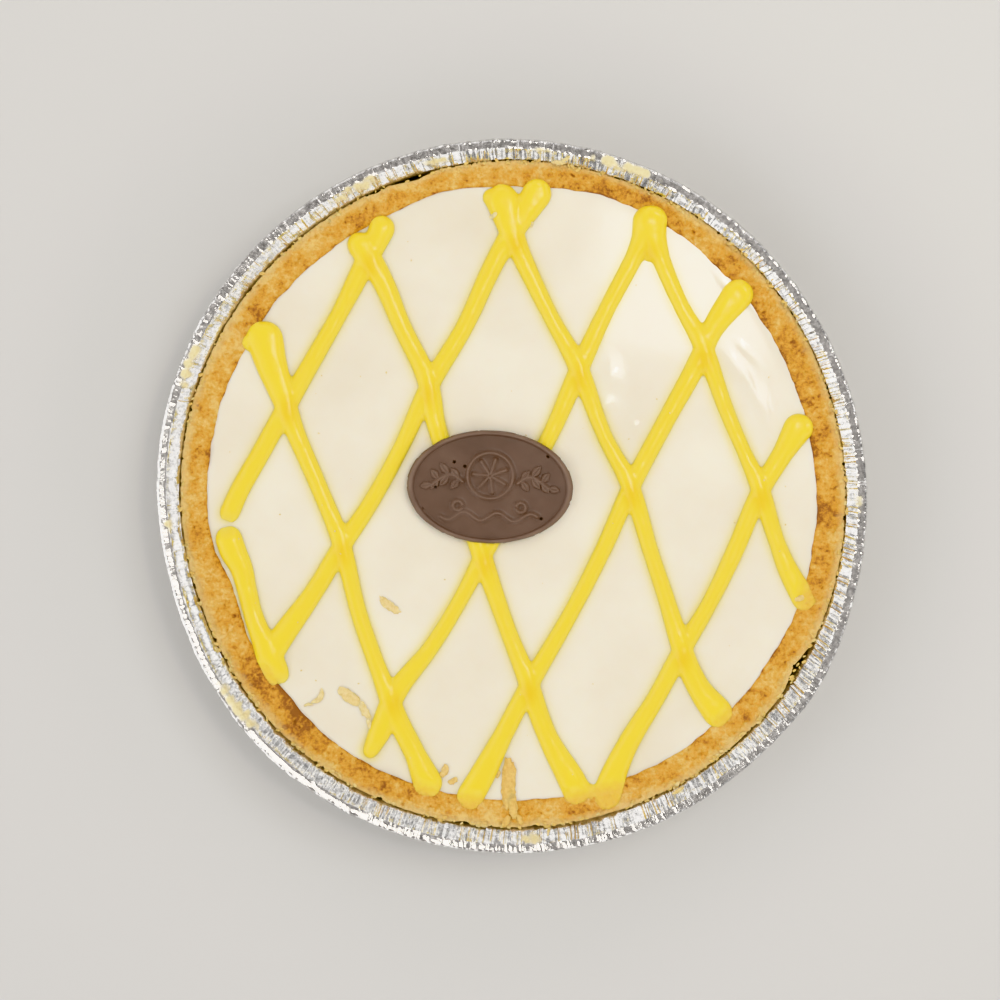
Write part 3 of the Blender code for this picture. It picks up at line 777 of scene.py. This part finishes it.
# The raised rim: its share of the way out, and how far it lies below the plaque's top
RIM_DROPS = [(0.914, 0.00045), (0.922, 0.00022), (0.932, 0.00006), (0.946, 0.0), (0.960, 0.00006),
             (0.974, 0.00022), (0.988, 0.00052), (1.0, 0.0010)]
plaque_profile = [(0.0, FIELD)]
plaque_profile += [(share, FIELD) for share in np.linspace(0, FIELD_SHARE, FIELD_RINGS)[1:]]
plaque_profile += [(share, TOP - drop) for share, drop in RIM_DROPS]
plaque_profile += [(1.0, BOTTOM + 0.0004), (0.99, BOTTOM), (0.0, BOTTOM)]
plaque = turned("chocolate_oval", plaque_profile, PLAQUE_COLUMNS)

# %% Relief lines of the plaque


def arc(middle, size, start, end, count):
    """Points along part of a circle, in millimetres and degrees."""
    turns = np.radians(np.linspace(start, end, count))
    return [(middle[0] + size * math.cos(t), middle[1] + size * math.sin(t)) for t in turns]


LEMON = (0.0, 2.9)
relief_lines = [arc(LEMON, 5.7, 0, 360, 60)]
for spoke in range(7):
    t = math.radians(spoke * 360 / 7 + 22)
    relief_lines.append([(LEMON[0] + reach * math.cos(t), LEMON[1] + reach * math.sin(t))
                         for reach in (0.5, 4.2)])
leaves = []
for side in (-1, 1):
    stem = [(side * (6.9 + k * 0.85), 1.2 + 1.6 * math.sin(k * 0.42)) for k in range(10)]
    relief_lines.append(stem)
    for k, reach in ((1, 3.4), (4, 3.8), (7, 3.2)):
        for up in (-1, 1):
            leaves.append((*stem[k], side * reach * 0.62, up * reach * 0.78))
    leaves.append((*stem[9], side * 3.0, -0.6))
relief_lines.append([(x, -7.4 + 1.0 * math.sin(x * 0.75)) for x in np.linspace(-12, 12, 80)])
relief_lines.append(arc((-7.9, -4.9), 1.2, 20, 330, 30))
relief_lines.append(arc((7.9, -4.9), 1.2, 210, 520, 30))
PITS = [(-9.1, 6.0), (-6.4, 5.0), (-13.6, -0.4), (-16.8, -6.1), (16.7, -6.7), (13.1, -7.5), (14.3, 8.2)]


# %% Stretch the plaque and raise its relief
points = points_of(plaque)
points[:, 0] *= HALF_LENGTH
points[:, 1] *= HALF_WIDTH
x, y = points[:, 0] / MM, points[:, 1] / MM
oval = np.hypot(points[:, 0] / HALF_LENGTH, points[:, 1] / HALF_WIDTH)
above = points[:, 2] > BOTTOM + MM
on_field = (oval < FIELD_SHARE) & above
still = np.zeros_like(x)
worn = 1 + 0.6 * noise_at(points[:, 0], points[:, 1], still + 0.02, 0.003)
raised = np.exp(-((distance_to(relief_lines, x, y) / 0.55) ** 2))
for foot_x, foot_y, reach_x, reach_y in leaves:
    reach = math.hypot(reach_x, reach_y)
    along = ((x - foot_x) * reach_x + (y - foot_y) * reach_y) / reach ** 2
    across = ((x - foot_x) * reach_y - (y - foot_y) * reach_x) / reach
    half_width = 0.05 + 1.0 * np.sin(math.pi * np.clip(along, 0, 1))
    blade = np.sqrt(np.clip(1 - (across / half_width) ** 2, 0, 1)) - 0.45 * np.exp(-((across / 0.22) ** 2))
    raised = np.maximum(raised, blade * (along > 0) * (along < 1))
raised *= 0.72 * worn
hole = np.zeros_like(x)
for pit_x, pit_y in PITS:
    hole = np.maximum(hole, np.exp(-((np.hypot(x - pit_x, y - pit_y) / 0.34) ** 4)))
soft = 0.05 * noise_at(points[:, 0], points[:, 1], still, 0.0045)
points[:, 2] += (on_field * (raised - 0.7 * hole) + above * soft) * MM
wander = noise_at(points[:, 0], points[:, 1], still + 0.04, 0.0035)
edge_scale = 1 + (0.010 * wander - 0.008 * (wander > 0.35)) * (oval > 0.975)
turn = Matrix.Rotation(PLAQUE_TURN, 2)
flat = points[:, :2] * edge_scale[:, None]
points[:, 0] = flat[:, 0] * turn[0][0] + flat[:, 1] * turn[0][1] + PLAQUE_X
points[:, 1] = flat[:, 0] * turn[1][0] + flat[:, 1] * turn[1][1] + PLAQUE_Y
put_points(plaque, points)
# The pits are painted nearly black in the chocolate, as painted shade
note(plaque, "hole", hole * on_field)
# The rim's crest and the relief's tops are painted lighter in the chocolate, as a painted highlight
crest = np.exp(-(((oval - 0.965) / 0.030) ** 4)) * (0.7 + 0.6 * wander)
note(plaque, "crest", crest + 0.7 * raised * on_field)
smooth_by_angle(plaque, 60)
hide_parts("chocolate_plaque")
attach(plaque, "root")
print("plaque:", len(plaque.data.polygons), "faces")

# %% [markdown]
# ## Crumbs and flakes
# Trimming the crust drops flakes on the set icing, and one long one lies across the crust. Each
# starts as a ball that is pulled about by noise, stretched, flattened and bent, and then
# laid on the ground under it, so that it has the broken look of pastry.

# %% Crumbs on the icing
# Each flake: its middle, length, width and thickness, its turn in degrees, its bend and, from
# 0 for pale to 1 for golden, its bake
FLAKES = [
    (-31.0, -26.6, 6.2, 2.0, 0.6, -37, 0.1, 0.35),
    (-48.7, -50.2, 4.4, 1.4, 0.6, 52, 0.5, 0.2),
    (-51.6, -51.8, 2.4, 0.7, 0.4, 8, -0.3, 0.2),
    (-41.2, -49.9, 6.8, 2.7, 0.7, -38, 0.12, 0.35),
    (-37.4, -53.4, 5.0, 1.9, 0.6, -62, 0.15, 0.2),
    (-36.2, -56.6, 2.6, 1.2, 0.5, -75, 0.0, 0.1),
    (-0.7, -71.8, 12.6, 3.3, 1.0, 88, 0.03, 1.1),
    (0.2, -77.2, 7.6, 2.2, 0.9, 99, 0.05, 1.0),
    (-3.4, -69.8, 2.2, 0.9, 0.4, 70, 0.1, 0.9),
    (-1.4, -81.6, 3.4, 1.5, 0.8, 64, -0.1, 1.0),
    (2.0, -81.2, 2.8, 1.3, 0.8, 112, 0.1, 1.0),
    (-7.2, -82.8, 4.6, 0.7, 0.5, -8, 0.3, 0.6),
    (9.6, -83.4, 3.2, 0.7, 0.5, 66, -0.2, 0.4),
    (-17.0, -69.0, 3.6, 1.7, 0.7, 64, 0.3, 0.7),
    (-14.9, -71.6, 2.6, 1.4, 0.6, 30, 0.2, 0.8),
    (72.6, -24.6, 2.4, 1.3, 0.6, 20, 0.0, 0.5),
    (-4.6, 71.0, 2.0, 1.1, 0.5, 30, 0.2, 0.0),
    (4.9, 68.9, 1.4, 0.9, 0.4, 80, 0.0, 0.0),
    (11.5, 84.0, 3.6, 1.1, 0.7, -5, 0.0, 0.2),
    (13.2, 84.6, 2.2, 0.9, 0.6, 30, 0.0, 0.1),
    (41.8, -72.4, 2.4, 1.0, 0.6, 60, 0.0, 0.3),
    (42.3, -73.6, 3.4, 0.9, 0.5, 32, 0.1, 0.5),
]
ABOVE_ALL = 0.04
CRUST_EDGE_Z = 0.0214
CRUMBS_ON_ICING, CRUMBS_AT_RIM = 46, 380


def ground_under(x, y, lowest):
    """Height of what lies under a place given in millimetres."""
    start = Vector((x * MM, y * MM, ABOVE_ALL))
    heights = [lowest]
    for piece in (icing, case, lattice, foil):
        hit, place, _, _ = piece.ray_cast(start, Vector((0, 0, -1)))
        if hit:
            heights.append(place.z)
    return max(heights)


def lay_flake(x, y, length, width, height, turn, bend, bake, seed, detail=4, lowest=ICING_Z):
    """A flattened, broken ball of pastry, lying on whatever is under it."""
    bpy.ops.mesh.primitive_ico_sphere_add(subdivisions=detail, radius=0.5, location=(0, 0, 0))
    flake = bpy.context.object
    points = points_of(flake)
    points[:, :2] = np.sign(points[:, :2]) * np.abs(points[:, :2] * 2) ** 0.8 / 2
    start = points[:, 0] * length / width + seed
    rough = 1 + 0.40 * noise_at(start, points[:, 1], points[:, 2], 0.45)
    rough += 0.20 * noise_at(start * 3, points[:, 1] * 3, points[:, 2] * 3, 0.6)
    points[:, 1:] *= rough[:, None]
    points[:, 0] *= 1 + 0.25 * noise_at(start * 2, points[:, 1] * 2, points[:, 2], 0.5)
    points[:, 1] += bend * (points[:, 0] * 2) ** 2 * length / width * 0.4
    points *= np.array([length, width, height]) * MM
    c, s = math.cos(math.radians(turn)), math.sin(math.radians(turn))
    shares = np.linspace(-0.5, 0.5, 7 if detail > 3 else 2)
    ground = [ground_under(x + share * length * c, y + share * length * s, lowest) for share in shares]
    points[:, 2] += np.interp(points[:, 0] / (length * MM), shares, ground) + height * MM * 0.32
    across = points[:, 0] * s + points[:, 1] * c
    points[:, 0] = points[:, 0] * c - points[:, 1] * s + x * MM
    points[:, 1] = across + y * MM
    put_points(flake, points)
    note(flake, "bake", np.full(len(points), bake))
    return flake


bpy.context.view_layer.update()
flakes = [lay_flake(*shape, seed * 3.7) for seed, shape in enumerate(FLAKES)]
for seed in range(CRUMBS_ON_ICING):
    reach = 72 * math.sqrt(chance.uniform(0, 1))
    t = chance.uniform(0, 2 * math.pi)
    size = chance.uniform(0.15, 0.42)
    shape = (size * 1.4, size, size * 0.5, chance.uniform(0, 180), 0, 0.2)
    place = (reach * math.cos(t), reach * math.sin(t))
    flakes.append(lay_flake(*place, *shape, 60 + seed, 2))
for seed in range(CRUMBS_AT_RIM):
    t = chance.uniform(0, 2 * math.pi)
    reach = 83.5 + float(swell(np.array([t]), OUTER_SWELLS)[0]) / MM + chance.uniform(-0.6, 0.6)
    size = chance.uniform(0.35, 0.85)
    place = (reach * math.cos(t) + 0.3, reach * math.sin(t) + 0.5)
    shape = (size * 1.7, size, size * 0.5, math.degrees(t) + 90 + chance.uniform(-50, 50), 0)
    # These bridge the gap between the crust and the foil, so they don't drop into it
    flakes.append(lay_flake(*place, *shape, chance.uniform(0.6, 1.2), 130 + seed, 2, CRUST_EDGE_Z))
join_into(flakes[0], flakes[1:])
scatter = flakes[0]
scatter.name = "pastry_crumbs"
scatter.data.name = "pastry_crumbs"
smooth_by_angle(scatter, 50)
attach(scatter, "root")
print("crumbs:", len(scatter.data.polygons), "faces")

# %% [markdown]
# ## Materials: what they share
# Every finish here has an unevenness of its own scale, which sets both its colour and its bump.
# That is one effect with different numbers, so it is a node group, built once: noise on Object
# coordinates, which stays with the piece, and the normal that its bump gives.

# %% The shared unevenness
GRAIN_INPUTS = (("Scale", 100.0), ("Detail", 3.0), ("Roughness", 0.5), ("Strength", 0.3),
                ("Distance", 0.0002))
grain_group = bpy.data.node_groups.new("grain", "ShaderNodeTree")
for name, start in GRAIN_INPUTS:
    socket = grain_group.interface.new_socket(name, in_out="INPUT", socket_type="NodeSocketFloat")
    socket.default_value = start
grain_group.interface.new_socket("Share", in_out="OUTPUT", socket_type="NodeSocketFloat")
grain_group.interface.new_socket("Normal", in_out="OUTPUT", socket_type="NodeSocketVector")
nodes, links = grain_group.nodes, grain_group.links
given = nodes.new("NodeGroupInput")
place = nodes.new("ShaderNodeTexCoord")
cloud = nodes.new("ShaderNodeTexNoise")
bump = nodes.new("ShaderNodeBump")
result = nodes.new("NodeGroupOutput")
links.new(place.outputs["Object"], cloud.inputs["Vector"])
for name in ("Scale", "Detail", "Roughness"):
    links.new(given.outputs[name], cloud.inputs[name])
for name in ("Strength", "Distance"):
    links.new(given.outputs[name], bump.inputs[name])
links.new(cloud.outputs[0], bump.inputs["Height"])
links.new(cloud.outputs[0], result.inputs["Share"])
links.new(bump.outputs[0], result.inputs["Normal"])

# %% Helpers for node trees


def new_material(name):
    """A new material, its node tree and its shader."""
    material = bpy.data.materials.new(name)
    material.use_nodes = True
    return material, material.node_tree, material.node_tree.nodes["Principled BSDF"]


def add_grain(tree, scale, detail=3.0, roughness=0.5, strength=0.0, distance=0.0002):
    """The shared unevenness, with this material's own numbers."""
    made = tree.nodes.new("ShaderNodeGroup")
    made.node_tree = grain_group
    for (name, _), value in zip(GRAIN_INPUTS, (scale, detail, roughness, strength, distance)):
        made.inputs[name].default_value = value
    return made.outputs["Share"], made.outputs["Normal"]


def read(tree, name):
    """A number that was noted for each vertex."""
    made = tree.nodes.new("ShaderNodeAttribute")
    made.attribute_name = name
    return made.outputs["Fac"]


def add_ramp(tree, source, stops):
    """A colour ramp with these (place, colour) stops."""
    made = tree.nodes.new("ShaderNodeValToRGB")
    band = made.color_ramp
    while len(band.elements) < len(stops):
        band.elements.new(0.5)
    for element, (place, colour) in zip(band.elements, stops):
        element.position = place
        element.color = (*colour, 1)
    tree.links.new(source, made.inputs[0])
    return made.outputs[0]


def add_range(tree, source, low, high, to_low, to_high):
    """Stretch a value from one range to another, clamped."""
    made = tree.nodes.new("ShaderNodeMapRange")
    tree.links.new(source, made.inputs[0])
    for k, value in enumerate((low, high, to_low, to_high)):
        made.inputs[k + 1].default_value = value
    return made.outputs[0]


def add_sum(tree, first, factor, second):
    """first * factor + second."""
    made = tree.nodes.new("ShaderNodeMath")
    made.operation = "MULTIPLY_ADD"
    tree.links.new(first, made.inputs[0])
    made.inputs[1].default_value = factor
    tree.links.new(second, made.inputs[2])
    return made.outputs[0]


def add_blend(tree, share, first, second):
    """Blend two colours by a share; either may be a socket or a colour."""
    made = tree.nodes.new("ShaderNodeMix")
    made.data_type = "RGBA"
    tree.links.new(share, made.inputs[0])
    for slot, colour in ((6, first), (7, second)):
        if isinstance(colour, tuple):
            made.inputs[slot].default_value = (*colour, 1)
        else:
            tree.links.new(colour, made.inputs[slot])
    return made.outputs[2]


def fill_in(tree, shader, **values):
    """Give each of these sockets of the shader its number, or link it to a node's socket."""
    for name, value in values.items():
        socket = shader.inputs[name.replace("_", " ")]
        if isinstance(value, bpy.types.NodeSocket):
            tree.links.new(value, socket)
        else:
            socket.default_value = value


# %% [markdown]
# ## Materials: foil
# Bare metal, so it shows what it mirrors, with fine crinkles. A smear is no metal: there the
# surface turns into pale butter-yellow pastry.

# %% Foil
material, tree, shader = new_material("bright_foil")
cloud, crinkled = add_grain(tree, 900.0, 4.0, 0.6, 0.5, 0.00018)
metal = add_ramp(tree, cloud, [(0.36, (0.58, 0.565, 0.545)), (0.64, (0.88, 0.86, 0.835))])
film = read(tree, "smear")
flaky, _ = add_grain(tree, 1500.0, 4.0, 0.7)
butter = add_ramp(tree, flaky, [(0.3, (0.66, 0.54, 0.24)), (0.7, (0.88, 0.79, 0.44))])
colour = add_blend(tree, film, metal, butter)
metallic = add_range(tree, film, 0.2, 0.8, 1.0, 0.3)
rough = add_sum(tree, film, 0.35, add_range(tree, cloud, 0.3, 0.7, 0.10, 0.22))
fill_in(tree, shader, Base_Color=colour, Metallic=metallic, Roughness=rough, Normal=crinkled)
foil.data.materials.append(material)

# %% [markdown]
# ## Materials: pastry
# The crust browns most on its high spots. It is painted darker in its pits and along the icing,
# as painted shade, and darker on its right side than its left, as painted light; the
# "browning_and_shade" attribute holds all of it. Specks and patches are added to it, and a ramp
# turns the sum into pale, golden and brown. The outer edge was cut after baking and shows the
# paler inside.

# %% Crust
material, tree, shader = new_material("golden_crust")
speck, specked = add_grain(tree, 1300.0, 5.0, 0.7, 1.0, 0.0003)
patch, _ = add_grain(tree, 380.0, 4.0, 0.6)
# This also carries painted shade in the pits and along the icing, and painted light from side to side
bake = add_sum(tree, speck, 0.85, read(tree, "browning_and_shade"))
bake = add_sum(tree, patch, 0.60, bake)
GOLD = [(0.46, (0.76, 0.53, 0.18)), (0.62, (0.69, 0.405, 0.086)), (0.78, (0.655, 0.325, 0.042)),
        (0.94, (0.44, 0.18, 0.025)), (1.0, (0.30, 0.11, 0.015))]
golden = add_ramp(tree, bake, GOLD)
ragged = add_sum(tree, patch, 0.5, read(tree, "outward"))
pale = add_range(tree, ragged, 0.95, 1.25, 0.0, 0.8)
colour = add_blend(tree, pale, golden, (0.68, 0.49, 0.21))
fill_in(tree, shader, Base_Color=colour, Roughness=0.55, Normal=specked, Subsurface_Weight=0.12,
        Subsurface_Radius=(1.0, 0.5, 0.2), Subsurface_Scale=0.001)
case.data.materials.append(material)

# %% Pale pastry of the crumbs
material, tree, shader = new_material("pale_pastry")
speck, specked = add_grain(tree, 1100.0, 4.0, 0.6, 0.4, 0.00015)
PALE = [(0.3, (0.68, 0.54, 0.24)), (0.7, (0.82, 0.71, 0.42))]
BAKED = [(0.3, (0.62, 0.39, 0.10)), (0.7, (0.77, 0.54, 0.18))]
pale, golden = add_ramp(tree, speck, PALE), add_ramp(tree, speck, BAKED)
colour = add_blend(tree, read(tree, "bake"), pale, golden)
fill_in(tree, shader, Base_Color=colour, Roughness=0.6, Normal=specked, Subsurface_Weight=0.3,
        Subsurface_Radius=(1.0, 0.7, 0.35), Subsurface_Scale=0.0012)
scatter.data.materials.append(material)

# %% [markdown]
# ## Materials: icing
# Light goes some way into sugar icing before it comes out, which softens every edge, so both
# icings use subsurface scattering. The white is warm and smooth, and beside the strokes it has
# painted yellow bounce light and painted shade. The yellow is greyer where it thins out at its
# edges and darker there as painted shade, deeper in the notches below the crossings, and lets the
# crust show through a smeared foot.

# %% White icing
material, tree, shader = new_material("set_white_icing")
patch, _ = add_grain(tree, 45.0, 3.0)
_, waved = add_grain(tree, 200.0, 2.0, 0.5, 0.05, 0.0002)
MILKY = [(0.32, (0.77, 0.70, 0.565)), (0.68, (0.88, 0.815, 0.68))]
milky = add_ramp(tree, patch, MILKY)
# Painted yellow bounce light and painted shade beside the strokes
bounce_shade = add_range(tree, read(tree, "bounce_shade"), 0.0, 1.0, 0.0, 0.8)
colour = add_blend(tree, bounce_shade, milky, (0.82, 0.69, 0.22))
rough = add_range(tree, patch, 0.3, 0.7, 0.14, 0.24)
fill_in(tree, shader, Base_Color=colour, Roughness=rough, Normal=waved, Subsurface_Weight=0.5,
        Subsurface_Radius=(1.0, 0.85, 0.65), Subsurface_Scale=0.003,
        Coat_Weight=0.8, Coat_Roughness=0.06, Coat_Normal=waved)
icing.data.materials.append(material)

# %% Yellow icing
material, tree, shader = new_material("lemon_yellow_icing")
patch, _ = add_grain(tree, 80.0, 3.0)
_, waved = add_grain(tree, 420.0, 3.0, 0.5, 0.25, 0.0002)
thick = add_sum(tree, patch, 0.5, read(tree, "height"))
# The lowest stop is greyer where the icing thins out, and darker, as painted shade at the edges
LEMONS = [(0.0, (0.76, 0.63, 0.14)), (0.30, (0.84, 0.66, 0.062)), (0.8, (0.89, 0.70, 0.044))]
lemony = add_ramp(tree, add_range(tree, thick, 0.2, 3.0, 0.0, 1.0), LEMONS)
deep = add_range(tree, read(tree, "pool"), 0.2, 1.0, 0.0, 0.75)
yellow = add_blend(tree, deep, lemony, (0.80, 0.56, 0.018))
streak, _ = add_grain(tree, 700.0, 4.0, 0.6)
foot = add_sum(tree, streak, 0.8, read(tree, "smeared"))
thin = add_range(tree, foot, 0.62, 1.5, 0.0, 0.95)
colour = add_blend(tree, thin, yellow, (0.72, 0.45, 0.07))
rough = add_range(tree, foot, 0.6, 1.2, 0.28, 0.6)
fill_in(tree, shader, Base_Color=colour, Roughness=rough, Normal=waved, Subsurface_Weight=0.40,
        Subsurface_Radius=(1.0, 0.85, 0.12), Subsurface_Scale=0.0015)
lattice.data.materials.append(material)

# %% [markdown]
# ## Materials: chocolate
# Milk chocolate is dark and close-grained with a dull sheen. Its pits are painted nearly black, as
# painted shade, and the crest of its rim and the tops of its relief are painted lighter, as a
# painted highlight.

# %% Chocolate
material, tree, shader = new_material("milk_chocolate")
patch, _ = add_grain(tree, 150.0, 5.0)
_, grained = add_grain(tree, 2200.0, 3.0, 0.5, 0.2, 0.00005)
cocoa = add_ramp(tree, patch, [(0.3, (0.112, 0.064, 0.041)), (0.7, (0.145, 0.086, 0.057))])
# Painted highlight: the rim's crest and the relief's tops are painted lighter
painted_crest_highlight = add_range(tree, read(tree, "crest"), 0.0, 1.0, 0.0, 0.7)
cocoa = add_blend(tree, painted_crest_highlight, cocoa, (0.24, 0.16, 0.115))
# Painted shade: the pits are painted nearly black
painted_pit_shade = read(tree, "hole")
colour = add_blend(tree, painted_pit_shade, cocoa, (0.02, 0.010, 0.006))
fill_in(tree, shader, Base_Color=colour, Roughness=0.44, Normal=grained, Subsurface_Weight=0.08,
        Subsurface_Radius=(1.0, 0.5, 0.3), Subsurface_Scale=0.0006)
plaque.data.materials.append(material)

# %% [markdown]
# ## Floor, light and camera
# The floor is plain and pale, a hair below the dish so that the two don't share a plane. A broad
# lamp high to the right lights the tart, but is hidden from reflections, because foil that
# mirrors it turns white all over. A smaller lamp, rolled like a window, lights nothing and is
# only mirrored, as the highlights and a slanting edge in the icing. A tiny one adds the sparks,
# and a weak one on the left opens the shadows. The room is patchy, bright round its walls and
# darker overhead, for the foil to mirror.

# %% Floor
FLOOR_SIZE, FLOOR_Z = 6, -0.0002
bpy.ops.object.select_all(action="DESELECT")
bpy.ops.mesh.primitive_plane_add(size=FLOOR_SIZE, location=(0, 0, FLOOR_Z))
floor = bpy.context.object
floor.name = "floor"
material, tree, shader = new_material("pale_floor")
fill_in(tree, shader, Base_Color=(0.60, 0.585, 0.56, 1), Roughness=0.7)
floor.data.materials.append(material)

# %% Lights


def soft_lamp(name, place, size, power, colour, roll=0):
    """A square lamp that looks at the tart, rolled about its own axis by some degrees."""
    bpy.ops.object.light_add(type="AREA", location=place)
    lamp = bpy.context.object
    lamp.name = name
    lamp.data.size = size
    lamp.data.energy = power
    lamp.data.color = colour
    facing = (-Vector(place)).to_track_quat("-Z", "Y").to_matrix()
    lamp.rotation_euler = (facing @ Matrix.Rotation(math.radians(roll), 3, "Z")).to_euler()
    return lamp


key_lamp = soft_lamp("key_lamp", (0.30, 0.24, 0.80), 0.40, 2.45, (1.0, 0.98, 0.94))
key_lamp.visible_glossy = False
window_lamp = soft_lamp("window_lamp", (0.187, 0.151, 0.80), 0.22, 1.2, (1.0, 0.98, 0.94), 45)
window_lamp.visible_diffuse = False
soft_lamp("spark_lamp", (0.21, 0.14, 0.80), 0.06, 0.45, (1.0, 0.98, 0.94))
soft_lamp("fill_lamp", (-0.7, -0.1, 0.7), 0.7, 1.3, (0.98, 0.99, 1.0))
world = bpy.data.worlds.new("soft_room")
bpy.context.scene.world = world
world.use_nodes = True
tree = world.node_tree
nodes, links = tree.nodes, tree.links
place = nodes.new("ShaderNodeTexCoord")
split = nodes.new("ShaderNodeSeparateXYZ")
links.new(place.outputs["Generated"], split.inputs[0])
ROOM = [(0.0, (0.55, 0.54, 0.53)), (0.10, (1.30, 1.30, 1.30)), (0.24, (0.55, 0.55, 0.56)),
        (0.34, (1.30, 1.30, 1.30)), (0.56, (1.30, 1.30, 1.30)), (0.64, (0.75, 0.75, 0.75)),
        (0.74, (1.0, 1.0, 1.0)), (0.86, (0.40, 0.385, 0.375))]
bands = nodes.new("ShaderNodeTexNoise")
links.new(place.outputs["Generated"], bands.inputs["Vector"])
bands.inputs["Scale"].default_value = 2.4
bands.inputs["Detail"].default_value = 1.0
patches = add_ramp(tree, bands.outputs[0], [(0.40, (0.30, 0.30, 0.30)), (0.60, (1.60, 1.60, 1.60))])
lit = nodes.new("ShaderNodeMix")
lit.data_type = "RGBA"
lit.blend_type = "MULTIPLY"
lit.inputs[0].default_value = 1.0
links.new(add_ramp(tree, split.outputs["Z"], ROOM), lit.inputs[6])
links.new(patches, lit.inputs[7])
links.new(lit.outputs[2], nodes["Background"].inputs["Color"])
nodes["Background"].inputs["Strength"].default_value = 1.0

# %% Camera
CAMERA_DISTANCE = 0.420
CAMERA_TILT = math.radians(4)
FOCAL_PIXELS = 1686
FRAME_PIXELS = 1000
aim = Vector((-0.00296, 0.00052, RIM_Z))
back = Vector((0, math.sin(CAMERA_TILT), math.cos(CAMERA_TILT)))
bpy.ops.object.camera_add(location=aim + CAMERA_DISTANCE * back)
camera = bpy.context.object
camera.rotation_euler = (-CAMERA_TILT, 0, 0)
camera.data.sensor_width = 36
camera.data.lens = 36 * FOCAL_PIXELS / FRAME_PIXELS
camera.data.clip_start = 0.01
bpy.context.scene.camera = camera
bpy.context.scene.view_settings.view_transform = "Khronos PBR Neutral"
